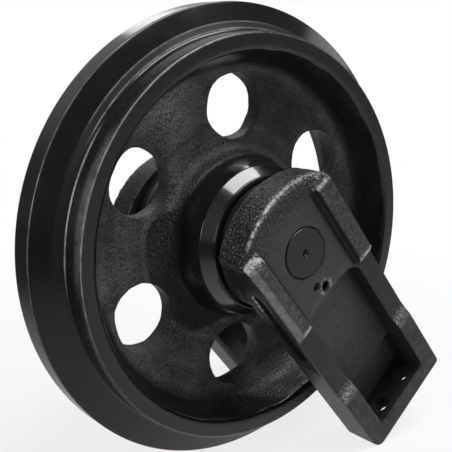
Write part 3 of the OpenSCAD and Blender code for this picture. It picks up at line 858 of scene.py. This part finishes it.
def edges_of(mesh):
    flat = np.empty(len(mesh.edges) * 2, np.int32)
    mesh.edges.foreach_get("vertices", flat)
    return flat.reshape(-1, 2)


def neighbour_mean(points, edges):
    total = np.zeros_like(points)
    count = np.zeros(len(points))
    for here, there in ((0, 1), (1, 0)):
        np.add.at(total, edges[:, here], points[edges[:, there]])
        np.add.at(count, edges[:, here], 1)
    return total / np.maximum(count, 1)[:, None]


def round_edges(mesh):
    """Rounds every edge by averaging, but spares the rims of the drilled holes."""
    points, edges = points_of(mesh), edges_of(mesh)
    along, across, out = points.T
    bolts = np.hypot(np.abs(across) - BOLT_PITCH / 2, out - BOLT_LEVEL) + FAR_OFF * (along < BOLT_ZONE)
    shaft = np.hypot(along, across) + FAR_OFF * (out < FACE_ZONE)
    pit = np.hypot(along - PIT_PLACE[0], across - PIT_PLACE[1]) + FAR_OFF * (out < FACE_ZONE)
    near_hole = np.minimum.reduce([bolts - BOLT_HOLE_R, shaft - SHAFT_R - SHAFT_CHAMFER, pit - PIT_R])
    share = LEAST_SHARE + MORE_SHARE * smooth_step(near_hole, *SPARED)
    for _ in range(ROUNDING_PASSES):
        points += (neighbour_mean(points, edges) - points) * share[:, None]
    set_points(mesh, points)


for mesh in net_meshes.values():
    round_edges(mesh)
print("edges rounded in", ROUNDING_PASSES, "passes")

# %% [markdown]
# ## Softer shapes
# Three places of the casting are softer than the solid: the head's inner edge is bevelled, the step down to
# the arm's recess is a slope, and paint has run into the bolt holes. On an even net these are small moves
# of points.

# %% Head, step and holes
HEAD_R, HEAD_REACH, HEAD_BEVEL, HEAD_ZONE = 0.0995, 0.070, 0.005, -0.02
INNER_FACE, PANEL = 0.077, 0.116
RECESS_START, RECESS_FLOOR, RECESS_HALF_W = 0.064, 0.097, 0.041
STEP_REACH, STEP_PASSES, STEP_SHARE, STEP_FADE = 0.018, 200, 0.5, (0.001, 0.006)
END_WALL_T, PAINT_T, HOLE_SLACK = 0.020, 0.0006, 0.0008
TINY = 1e-6
head_centre = HEAD_R - HEAD_REACH
end_wall_face = ARM_L - END_WALL_T


def shape_head(mesh):
    """Bevels the head's inner edge, which the solid leaves square."""
    points = points_of(mesh)
    along, across, out = points.T
    from_centre = np.hypot(along - head_centre, across)
    limit = HEAD_R - np.clip(INNER_FACE + HEAD_BEVEL - out, 0, HEAD_BEVEL)
    on_head = (along < HEAD_ZONE) & (from_centre > limit) & (out > INNER_FACE - 0.001)
    pull = np.where(on_head, limit / np.maximum(from_centre, TINY), 1.0)
    points[:, 0] = head_centre + (along - head_centre) * pull
    points[:, 1] *= pull
    set_points(mesh, points)


def soften_step(mesh):
    """Turns the step from the panel to the recess into a soft slope."""
    points, edges = points_of(mesh), edges_of(mesh)
    along, across, out = points.T
    corners = [np.hypot(along - RECESS_START, out - level) for level in (PANEL, RECESS_FLOOR)]
    share = smooth_step(STEP_REACH - np.minimum(*corners), 0, STEP_REACH / 2)
    share = STEP_SHARE * share * smooth_step(RECESS_HALF_W - np.abs(across), *STEP_FADE)
    touched = edges[(share[edges] > 0).any(axis=1)]
    for _ in range(STEP_PASSES):
        points += (neighbour_mean(points, touched) - points) * share[:, None]
    set_points(mesh, points)


def tighten_holes(mesh):
    """Draws the walls of the bolt holes in by the paint that has run into them."""
    points = points_of(mesh)
    along, across, out = points.T
    middle = np.sign(across) * BOLT_PITCH / 2
    from_bolt = np.hypot(across - middle, out - BOLT_LEVEL)
    inside = (from_bolt < BOLT_HOLE_R + HOLE_SLACK) & (along > end_wall_face - 0.002)
    pull = np.where(inside, (BOLT_HOLE_R - PAINT_T) / np.maximum(from_bolt, TINY), 1.0)
    points[:, 1] = middle + (across - middle) * pull
    points[:, 2] = BOLT_LEVEL + (out - BOLT_LEVEL) * pull
    set_points(mesh, points)


for mesh in net_meshes.values():
    shape_head(mesh)
    soften_step(mesh)
    tighten_holes(mesh)
print("softened:", ", ".join(net_meshes), "bracket")

# %% [markdown]
# ## Foundry marks, wear and painted glints
# The head's side keeps the coarse sand, with a rough bead of flash along the edge of its flat face. Pale
# specks on the sand and in a band beside the bead are painted glints. The guide pads are bare where they
# slide in the track frame, and the two ramps are scratched. These are masks on the points of the net, worked
# out from where a point lies along and across the arm, and the finish reads them.

# %% Head and pads
COARSE_SAND, FINE_SAND, FINE_SHARE = 0.006, 0.0028, 0.6
BEAD_SIZE, BEAD_SAND = 0.010, 0.5
HEAD_START, SIDE_TURN, FLAT = (0.016, 0.030), (0.2, 0.6), 0.5
SIDE_BAND, RIM_BAND, FACE_BAND = (0.006, 0.002), (0.013, 0.005), (0.036, 0.010)
CREST_INSET, CREST_DROP, CREST_HALF_W, CREST_FADE = 0.0010, 0.0006, 0.0024, 0.0020
CREST_START, CREST_THIN, THIN_SHARE = (-0.052, -0.040), (0.000, 0.036), 0.65
SPRAY_HALF_W, SPRAY_FADE, SPRAY_START = 0.0085, 0.007, (-0.036, 0.004)
PAD_W, PAD_TOP, PAD_START, PAD_END, PAD_BEVEL_W = 0.020, 0.124, -0.043, 0.058, 0.0075
PAD_LENGTH = (PAD_START - 0.007, PAD_START - 0.005, PAD_END + 0.004, PAD_END + 0.006)
PAD_TURN, BEVEL_FADE = (0.5, 0.9), 0.0008
LOWER_START, UPPER_START, PAD_STOP = (PAD_START - 0.002, 0.009), (PAD_START, 0.0026), (PAD_END + 0.001, 0.006)
pad_inner = ARM_W / 2 - PAD_W
pad_bevel = ARM_W / 2 - PAD_BEVEL_W


class ArmPlace:
    """Where a bracket's points lie along, across and outwards, how they face, and how rough they are."""

    def __init__(self, mesh, seed):
        self.points, self.normals = points_of(mesh), normals_of(mesh)
        self.along, self.across, self.out = self.points.T
        self.facing = self.normals[:, 2]
        fine = FINE_SHARE * lumps(self.points, FINE_SAND, seed + 3)
        self.rough = lumps(self.points, COARSE_SAND, seed) + fine
        self.beads = lumps(self.points, BEAD_SIZE, seed + 5) + BEAD_SAND * self.rough


def head_marks(at):
    """The head's sandy side, the crest of flash on its edge, painted glints beside it, and two widths of its
    face.
    """
    from_centre = np.hypot(at.along - head_centre, at.across)
    on_arc = smooth_step(-at.along, *HEAD_START)
    on_face = on_arc * (at.facing > FLAT)
    on_side = on_arc * smooth_step(1 - np.abs(at.facing), *SIDE_TURN)
    to_crest = np.hypot(from_centre - HEAD_R + CREST_INSET, at.out - PANEL + CREST_DROP)
    crest = on_arc * smooth_step(CREST_HALF_W - to_crest, 0, CREST_FADE) * (at.facing > 0.05)
    unbroken = smooth_step(at.across, *CREST_START) * (1 - THIN_SHARE * smooth_step(at.across, *CREST_THIN))
    to_edge = np.hypot(from_centre - HEAD_R, at.out - PANEL)
    # Painted glints in a band beside the head's edge.
    painted_glints = on_arc * smooth_step(SPRAY_HALF_W - to_edge, 0, SPRAY_FADE)
    bands = (SIDE_BAND, RIM_BAND, FACE_BAND)
    side, rim, face = (smooth_step(from_centre, HEAD_R - start, HEAD_R - full) for start, full in bands)
    return {
        "side": on_side * side, "rim": on_face * rim, "face": on_face * face,
        "crest": crest * unbroken, "painted_glints": painted_glints * smooth_step(at.across, *SPRAY_START),
    }


def pad_marks(at):
    """The guide pads: their length and top, the bevel on the lower one, and their rubbed starts and ends."""
    beside = np.abs(at.across) > pad_inner - 0.001
    length = plateau(at.along, *PAD_LENGTH)
    top = length * (at.out > PANEL + 0.0035) * beside * smooth_step(at.facing, *PAD_TURN)
    bevel = top * smooth_step(-at.across, pad_bevel - BEVEL_FADE, pad_bevel + BEVEL_FADE)
    start = np.where(at.across < 0, bump_at(at.along, *LOWER_START), bump_at(at.along, *UPPER_START))
    start = start * (at.out > PANEL + 0.001) * (at.facing > 0.2)
    end = bump_at(at.along, *PAD_STOP) * (at.out > PANEL + 0.004) * (at.facing > 0.3)
    return {
        "length": length, "top": top, "bevel": bevel,
        "start": start * beside, "end": end * beside * (1 - bevel),
    }


print("pads run from", PAD_START, "to", PAD_END, "along the arm")

# %% [markdown]
# ## Ramps, ridges and pits
# The arm's side walls rise in a short ramp, with two low ridges before it. Beside the shaft there is a
# small dent and a blind hole, which locates the bracket while it is machined and has a raised lip. Each is
# a distance or a bump along the arm, so a change of its place is a change of one value.

# %% Walls and pits
WALL_T, RAMP_START, RAMP_L, RAMP_SLACK = 0.022, 0.151, 0.019, 0.0015
RIDGE_PLACES, RIDGE_HALF_W = (0.094, 0.098), 0.0022
DENT_PLACE, DENT_R, DENT_SQUEEZE = (0.0388, -0.0103), 0.0045, 0.8
LIP_R, LIP_HALF_W = 0.0075, 0.0028


def wall_marks(at):
    """The scratched ramps on the arm's walls, and the low ridges before them."""
    on_wall = (np.abs(at.across) > ARM_W / 2 - WALL_T) * (at.out > PANEL)
    ramp = bump_at(at.along, RAMP_START + RAMP_L / 2, RAMP_L / 2 + RAMP_SLACK) * (at.facing > FLAT)
    ridge = sum(bump_at(at.along, place, RIDGE_HALF_W) for place in RIDGE_PLACES) * (at.facing > 0.7)
    return {"ramp": np.sqrt(on_wall * ramp), "ridge": on_wall * ridge}


def pit_marks(at):
    """Distances from the dent and the locating hole on the panel, and the raised lip round the hole."""
    to_dent = np.hypot(at.along - DENT_PLACE[0], (at.across - DENT_PLACE[1]) * DENT_SQUEEZE)
    to_pit = np.hypot(at.along - PIT_PLACE[0], at.across - PIT_PLACE[1])
    lip = bump_at(to_pit, LIP_R, LIP_HALF_W) * (at.out > PANEL - 0.001)
    return {"to_dent": to_dent, "to_pit": to_pit, "lip": lip}


print("ramps start", RAMP_START, "along the arm")

# %% [markdown]
# ## Relief
# What stands out by half a millimetre or sinks by two catches light on its own edges, and bump in a finish
# would not show in the outline. So these marks are added up as one height per point and moved in the mesh.

# %% Relief
SAND_HEIGHT, FLASH_HEIGHT, RIDGE_HEIGHT, LIP_HEIGHT = 0.00022, 0.0007, 0.0003, 0.0005
DENT_DEPTH, DENT_FADE, FLASH_DROP, FLASH_HALF_W = 0.0030, 0.002, 0.0047, 0.0016
FOOT_W, FOOT_INSET, FOOT_DEPTH, FOOT_SLACK = 0.0035, 0.0021, 0.0022, 0.003
FOOT_LENGTH = (PAD_START, PAD_START + 0.01, PAD_END - 0.004, PAD_END + 0.005)
RIM_SAND, PAD_SAND = 0.7, 0.25


def cast_relief(at, head, pads, walls, pits):
    """How far each point moves outwards for the sand, the flash, the ridges, the pads' feet and the dent."""
    foot = bump_at(np.abs(at.across), pad_inner - FOOT_INSET, FOOT_W) * (at.facing > 0.4)
    foot = foot * (at.out < PANEL + FOOT_SLACK) * (at.out > PANEL - FOOT_SLACK)
    foot = foot * plateau(at.along, *FOOT_LENGTH)
    dent = smooth_step(DENT_R - pits["to_dent"], 0, DENT_FADE) * (at.out > PANEL - 0.004)
    flash = bump_at(at.out, PAD_TOP - FLASH_DROP, FLASH_HALF_W) * (at.across < -ARM_W / 2 + 0.003)
    height = SAND_HEIGHT * at.rough * (head["side"] + RIM_SAND * head["rim"] + PAD_SAND * pads["top"])
    height += FLASH_HEIGHT * head["crest"] * np.clip(0.55 + at.rough, 0.1, 1.4)
    height += FLASH_HEIGHT * flash * pads["length"] * np.clip(at.beads, -0.3, 1.5)
    height += RIDGE_HEIGHT * walls["ridge"]
    height += LIP_HEIGHT * pits["lip"] * np.clip(0.6 + at.rough, 0, 1.5)
    return height - FOOT_DEPTH * foot - DENT_DEPTH * dent


print("relief: sand", SAND_HEIGHT * 1000, "mm, flash", FLASH_HEIGHT * 1000, "mm")

# %% [markdown]
# ## Bare places, painted highlights and painted shade
# Paint is gone from the ends of the pads, and the metal there is bright. The crest and the groove's mouth
# get painted highlights, and the pocket's inner corner gets painted light. Holes, inner corners, the floor
# beside the pads and walls, and the arm's foot get painted shade, near black, where shade falls. Both are
# plain sums or maxima of soft shapes, each weighed by how plainly it shows.

# %% Bare places and painted shade
GROOVE_START, GROOVE_LEVEL, GROOVE_HALF_W = 0.004, 0.101, 0.007
MOUTH_HALF_W, MOUTH_LENGTH = 0.0013, (0.012, 0.036)
POCKET_START, POCKET_FLOOR = 0.187, 0.084
SEAM_HALF_W, SEAM_FADE = 0.0018, (0.002, 0.012)
POCKET_SHADE_START, ARM_SHADE = 0.100, (0.034, 0.052, 0.105, 0.125)
BARE_SHARES = {"start": 0.8, "end": 0.9, "lip": 0.35, "mouth": 0.8, "pocket_corner_light": 0.35}
# How strongly each place is painted with shade.
PAINTED_SHADE_SHARES = {
    "bolt_hole": 0.85, "dent": 0.7, "pit": 1.0, "end_wall": 0.7,
    "by_pad": 0.5, "by_wall": 0.6, "shaded": 0.8, "to_pocket": 0.30,
}


def bare_places(at, head, pads, pits):
    """Bare pad ends and lip; painted highlights on the crest and the groove's mouth; painted light in the
    pocket corner.
    """
    from_mouth = np.hypot(np.maximum(GROOVE_START - at.along, 0), at.out - GROOVE_LEVEL) - GROOVE_HALF_W
    # Painted highlight along the rounded mouth of the lock pin groove.
    mouth = bump_at(from_mouth, 0, MOUTH_HALF_W) * (at.across < -ARM_W / 2 + 0.0015)
    mouth = mouth * smooth_step(-at.along, -MOUTH_LENGTH[1], -MOUTH_LENGTH[0])
    # Painted light in the pocket's inner corner, which lies in shade.
    pocket_corner_light = bump_at(np.hypot(at.along - POCKET_START, at.out - POCKET_FLOOR), 0, SEAM_HALF_W)
    pocket_corner_light = pocket_corner_light * smooth_step(RECESS_HALF_W - np.abs(at.across), *SEAM_FADE)
    bare = {"start": pads["start"], "end": pads["end"], "lip": pits["lip"], "mouth": mouth, "pocket_corner_light": pocket_corner_light}
    # Painted highlight: the crest's flash bead is painted bright.
    crest = head["crest"] * np.clip(0.7 + 0.9 * at.rough, 0, 1)
    return crest + sum(BARE_SHARES[name] * shape for name, shape in bare.items())


def painted_shade_places(at, pits):
    """Painted shade in holes, inner corners and on the shaded foot of the arm, where the paint is also
    dullest.
    """
    from_middle = np.abs(at.across)
    from_bolt = np.hypot(from_middle - BOLT_PITCH / 2, at.out - BOLT_LEVEL)
    bolt_hole = smooth_step(BOLT_HOLE_R + 0.0012 - from_bolt, 0, 0.001) * (at.along > 0.23)
    dent = smooth_step(DENT_R + 0.0005 - pits["to_dent"], 0, 0.0015) * (at.out > PANEL - 0.006)
    pit = smooth_step(PIT_R + 0.00035 - pits["to_pit"], 0, 0.001) * (at.out > PANEL - 0.02)
    by_pad = smooth_step(at.across, pad_inner - 0.0075, pad_inner - 0.004)
    by_pad = by_pad * smooth_step(pad_inner + 0.0012 - at.across, 0, 0.0008) * (at.out > PANEL - 0.004)
    by_pad = by_pad * smooth_step(at.along, PAD_START - 0.004, PAD_START + 0.004)
    by_pad = by_pad * (at.along < RECESS_START - 0.002)
    by_wall = smooth_step(at.across, RECESS_HALF_W - 0.007, RECESS_HALF_W - 0.002)
    by_wall = by_wall * smooth_step(PANEL + 0.0015 - at.out, 0, 0.001) * (at.across < RECESS_HALF_W + 0.002)
    by_wall = by_wall * smooth_step(at.along, RECESS_START, RECESS_START + 0.004)
    by_wall = by_wall * (at.along < end_wall_face + 0.001)
    past_wall = at.along - end_wall_face
    end_wall = smooth_step(past_wall, -0.003, -0.001) * (past_wall < 0.002) * (at.out < PANEL - 0.001)
    end_wall = end_wall * (from_middle < RECESS_HALF_W + 0.001)
    to_pocket = smooth_step(at.along, POCKET_SHADE_START, POCKET_START) * (at.along < POCKET_START + 0.001)
    to_pocket = to_pocket * (at.out < PANEL - 0.010) * (from_middle < RECESS_HALF_W)
    shaded = plateau(at.along, *ARM_SHADE) * (at.across < -ARM_W / 2 + 0.010) * (at.out < PANEL - 0.002)
    painted_shade = {
        "bolt_hole": bolt_hole, "dent": dent, "pit": pit, "end_wall": end_wall,
        "by_pad": by_pad, "by_wall": by_wall, "shaded": shaded, "to_pocket": to_pocket,
    }
    return np.maximum.reduce([PAINTED_SHADE_SHARES[name] * shape for name, shape in painted_shade.items()])


print("pocket from", POCKET_START, "to", round(end_wall_face, 3), "along the arm")

# %% [markdown]
# ## Marked brackets
# Both brackets get the same marks from other seeds, so they aren't twins, and the far one is less sandy.
# Rubbed edges are found by bend: where a point stands out from the mean of its neighbours, the surface is
# convex and paint wears. The net then goes back from the arm's frame to the part's, and the near side,
# which that mirrors, is turned right side out again.

# %% Marked brackets
EDGE_BEND = (0.00010, 0.00024)
FACE_GRAINS_AND_GLINTS, PAD_GRAINS_AND_GLINTS, PLAIN_GRAINS_AND_GLINTS = 0.8, 0.45, 0.10
UPPER_PAD_WEAR, BEVEL_LESS = 0.65, 0.75
PANEL_TURN, TOP_TURN, TOP_FADE = (0.3, 0.7), (0.5, 0.8), 0.02
SEEDS = {"near": 0.0, "far": 11.0}
SAND_SHARES = {"near": 1.0, "far": 0.35}


def mark_bracket(mesh, seed, sand_share):
    """Moves the points for the foundry's marks and sets the masks for the finish."""
    at = ArmPlace(mesh, seed)
    head, pads, walls, pits = head_marks(at), pad_marks(at), wall_marks(at), pit_marks(at)
    at.points += at.normals * cast_relief(at, head, pads, walls, pits)[:, None]
    set_points(mesh, at.points)
    bend = ((at.points - neighbour_mean(at.points, edges_of(mesh))) * normals_of(mesh)).sum(1)
    rubbed = np.clip(0.25 + pads["top"] + 0.8 * head["side"] + 0.5 * pits["lip"], 0, 1)
    # The panel's grey reaches down the recess floor as painted light against its shade.
    on_floor = (np.abs(at.across) < RECESS_HALF_W + 0.003) * (at.out < PANEL + 0.002)
    on_floor = on_floor * (at.out > POCKET_FLOOR - 0.002)
    on_top = (at.out > PANEL + 0.0015) * smooth_step(at.along, RAMP_START, RAMP_START + TOP_FADE)
    # Shares of grain and of painted glints on the head's face, the pads and all else.
    grains_and_glints = FACE_GRAINS_AND_GLINTS * head["face"] + PAD_GRAINS_AND_GLINTS * pads["top"] + PLAIN_GRAINS_AND_GLINTS
    masks = {
        "sand": sand_share * head["side"] + grains_and_glints,
        "pad": pads["top"] * np.where(at.across > 0, UPPER_PAD_WEAR, 1.0) - BEVEL_LESS * pads["bevel"],
        "bevel": pads["bevel"],
        "bare": bare_places(at, head, pads, pits),
        "painted_glints": head["painted_glints"],
        "ramp": walls["ramp"],
        "painted_shade": painted_shade_places(at, pits),
        "stain": on_top * smooth_step(at.facing, *TOP_TURN),
        "panel": on_floor * smooth_step(at.facing, *PANEL_TURN),
        "edge": rubbed * smooth_step(bend, *EDGE_BEND),
    }
    for name, values in masks.items():
        set_mask(mesh, name, np.clip(values, 0, 1))


def dress_bracket(side, mesh):
    mesh.name = side + "_bracket_casting"
    mark_bracket(mesh, SEEDS[side], SAND_SHARES[side])
    mesh.transform(arm_frame(side))
    if side == "near":
        mesh.flip_normals()
    mesh.materials.clear()
    stand_in(mesh, side + "_bracket", "carrier")


for side, mesh in net_meshes.items():
    dress_bracket(side, mesh)

# %% [markdown]
# ## Paint, wear and painted light on the brackets
# The same black paint is thin and greyish on the panel, rubbed grey on the pads and scratched off on the
# ramps. The panel's grey is also painted light, which lifts the recess out of its shade, and the lower pad's
# bevel is painted pale where it faces the lamps. Pale specks are painted glints, and the painted shade is
# near black. The finish starts from plain paint and lays one coat after another over it, each through its own
# mask. A mask alone has edges as soft as a spray can's, so noise at the scale of the sand breaks each of them
# up.

# %% Bracket paint
THIN_DARK, THIN_LIGHT = (0.029, 0.027, 0.029, 1.0), (0.058, 0.054, 0.057, 1.0)
RUST, OLD_OIL = (0.048, 0.036, 0.026, 1.0), (0.056, 0.046, 0.038, 1.0)


def bracket_paint():
    f = new_finish("bracket_black_paint")
    sand, painted_shade = f.mask("sand"), f.mask("painted_shade")
    grain, speck = f.noise(380.0, rough=0.6), f.noise(560.0, 2.0, rough=0.5)
    cloud, mottle = f.noise(34.0, 4.0), f.noise(190.0, 5.0, rough=0.7)
    scratches, smears = f.noise(560.0, rough=0.7), f.noise(75.0, 5.0, rough=0.7)

    tone = f.spread(f.plus(f.times(cloud, 0.6), f.times(speck, 0.4)), 0.35, 0.65)
    plain = f.mix(tone, grey(0.006), grey(0.013, 0.02))
    # Thin greyish paint, lightened as painted light that lifts the panel and the recess floor out of their
    # shade.
    thin = f.mix(f.spread(speck, 0.35, 0.68), THIN_DARK, THIN_LIGHT)
    worn = f.mix(f.spread(mottle, 0.38, 0.62), grey(0.012, 0.08), grey(0.064, 0.06))
    rusty = f.mix(f.spread(f.noise(60.0), 0.54, 0.68), worn, RUST)
    # Painted light: the lower pad's bevel, which faces the lamps, is painted pale grey.
    lit_bevel = f.mix(f.spread(mottle, 0.40, 0.60), grey(0.115), grey(0.205, 0.01))
    colour = f.coats(plain, (
        (f.mask("panel"), thin),
        (f.times(sand, 0.8), grey(0.006)),
        (f.mask("pad"), rusty),
        (f.times(f.mask("stain"), f.spread(smears, 0.46, 0.66)), OLD_OIL),
        (f.mask("bevel"), lit_bevel),
        # Painted glints: pale specks on the sand, and brighter ones beside the crest.
        (f.times(sand, f.spread(speck, 0.53, 0.70)), grey(0.17, 0.03)),
        (f.times(f.mask("painted_glints"), f.spread(speck, 0.47, 0.64)), grey(0.42, 0.03)),
        (f.times(f.mask("ramp"), f.spread(scratches, 0.45, 0.60)), grey(0.33)),
        (f.times(f.mask("edge"), f.spread(mottle, 0.36, 0.56)), grey(0.24, 0.05)),
        (f.times(f.mask("bare"), f.spread(mottle, 0.40, 0.55)), grey(0.68, 0.03)),
        # Painted shade, near black, in holes, corners and the arm's shaded foot.
        (painted_shade, grey(0.002)),
    ))

    return f.surface({
        "Base Color": colour,
        "Roughness": f.math("ADD", f.spread(grain, 0.3, 0.7, 0.36, 0.48), painted_shade, clamp=True),
        "Normal": f.bump(grain, f.plus(f.times(sand, 0.9), 0.04), 0.0030),
        "Specular IOR Level": 0.40,
    })


paint = bracket_paint()
for mesh in net_meshes.values():
    mesh.materials.append(paint)
print("bracket paint on", len(net_meshes), "brackets")

# %% [markdown]
# ## The other pieces
# The bushes, seals, pins and plug keep their solids. Each gets the finish of its trade: lapped steel, black
# paint on the pins, turned bronze, soft copper and matt rubber. What was turned is one recipe, with its own
# colour, roughness and rings.

# %% Small finishes
DULLER, CENTRE_FADE = 0.8, 0.0008


def turned_metal(name, colour, rough, ring_strength=0.15, metallic=1.0, centre_r=0.0):
    """Turned metal with fine rings, and painted shade, near black, in a lathe centre of radius centre_r."""
    f = new_finish(name)
    lathe = lathe_place(f)
    rings = f.noise(1400.0, 2.0, lathe)
    dull = tuple(DULLER * c for c in colour[:3]) + (1.0,)
    tint = f.mix(f.spread(f.noise(45.0), 0.3, 0.7), colour, dull)
    if centre_r:
        radius = f.node("ShaderNodeSeparateXYZ", {0: lathe}).outputs["X"]
        tint = f.mix(f.spread(radius, centre_r, centre_r + CENTRE_FADE), grey(0.002), tint)
    return f.surface({
        "Base Color": tint, "Metallic": metallic, "Roughness": f.spread(rings, 0.3, 0.7, rough, rough + 0.12),
        "Normal": f.bump(rings, ring_strength, 0.0002),
    })


def matt_rubber():
    f = new_finish("matt_rubber")
    skin = f.noise(800.0)
    tone = f.mix(f.spread(skin, 0.3, 0.7), grey(0.010), grey(0.018))
    return f.surface({"Base Color": tone, "Roughness": 0.7, "Normal": f.bump(skin, 0.2, 0.0002)})


FINISHES = {
    "steel": turned_metal("lapped_steel", grey(0.50), 0.22),
    "pin": turned_metal("pin_black_paint", grey(0.010, 0.02), 0.40, 0.12, 0.0),
    "bronze": turned_metal("turned_bronze", (0.58, 0.40, 0.20, 1.0), 0.28),
    "copper": turned_metal("soft_copper", (0.66, 0.38, 0.25, 1.0), 0.35),
    "rubber": matt_rubber(),
}
KINDS = {"bush": "bronze", "washer": "copper", "toric": "rubber", "o_ring": "rubber", "pin": "pin"}
REBUILT = ("idler_wheel", "near_bracket", "far_bracket", "shaft")
for name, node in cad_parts.items():
    if name not in REBUILT:
        kind = next((finish for word, finish in KINDS.items() if word in name), "steel")
        node.data.materials.clear()
        node.data.materials.append(FINISHES[kind])
        print(name, "in", kind)

# %% [markdown]
# ## The shaft
# The shaft is a plain turned bar, drilled for oil. Its solid has the right shape, and one empty face where
# the drill's tip ends. The piece that stands for it is a welded copy. The normals stored with the solid
# belong to the unwelded net, so they are removed, and the copy is shaded smooth up to its sharp corners.
# The lathe's centre, the small cone in its near end, is drawn as wide as it is worn, and its inside is
# painted black as painted shade.

# %% Shaft
SHARP_ANGLE = math.radians(30)
SOLID_CENTRE_R, CENTRE_R, SHADED_CENTRE_R = 0.0025, 0.0042, 0.0036
CENTRE_DEPTH, CENTRE_SLACK = 0.006, 0.0003

shaft_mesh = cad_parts["shaft"].data.copy()
shaft_mesh.name = "idler_shaft"
shaft_mesh.attributes.remove(shaft_mesh.attributes["custom_normal"])
weld(shaft_mesh)
points = points_of(shaft_mesh)
in_centre = np.hypot(points[:, 0], points[:, 2]) < SOLID_CENTRE_R + CENTRE_SLACK
in_centre &= points[:, 1] < CENTRE_DEPTH - PANEL
points[in_centre] *= np.array([CENTRE_R / SOLID_CENTRE_R, 1, CENTRE_R / SOLID_CENTRE_R])
set_points(shaft_mesh, points)
shaft_mesh.materials.clear()
# Painted shade: the inside of the lathe centre is near black.
shaft_paint = turned_metal("shaft_black_paint", grey(0.012, 0.02), 0.36, 0.12, 0.0, SHADED_CENTRE_R)
shaft_mesh.materials.append(shaft_paint)
stand_in(shaft_mesh, "shaft", "carrier")
shaft_mesh.set_sharp_from_angle(angle=SHARP_ANGLE)
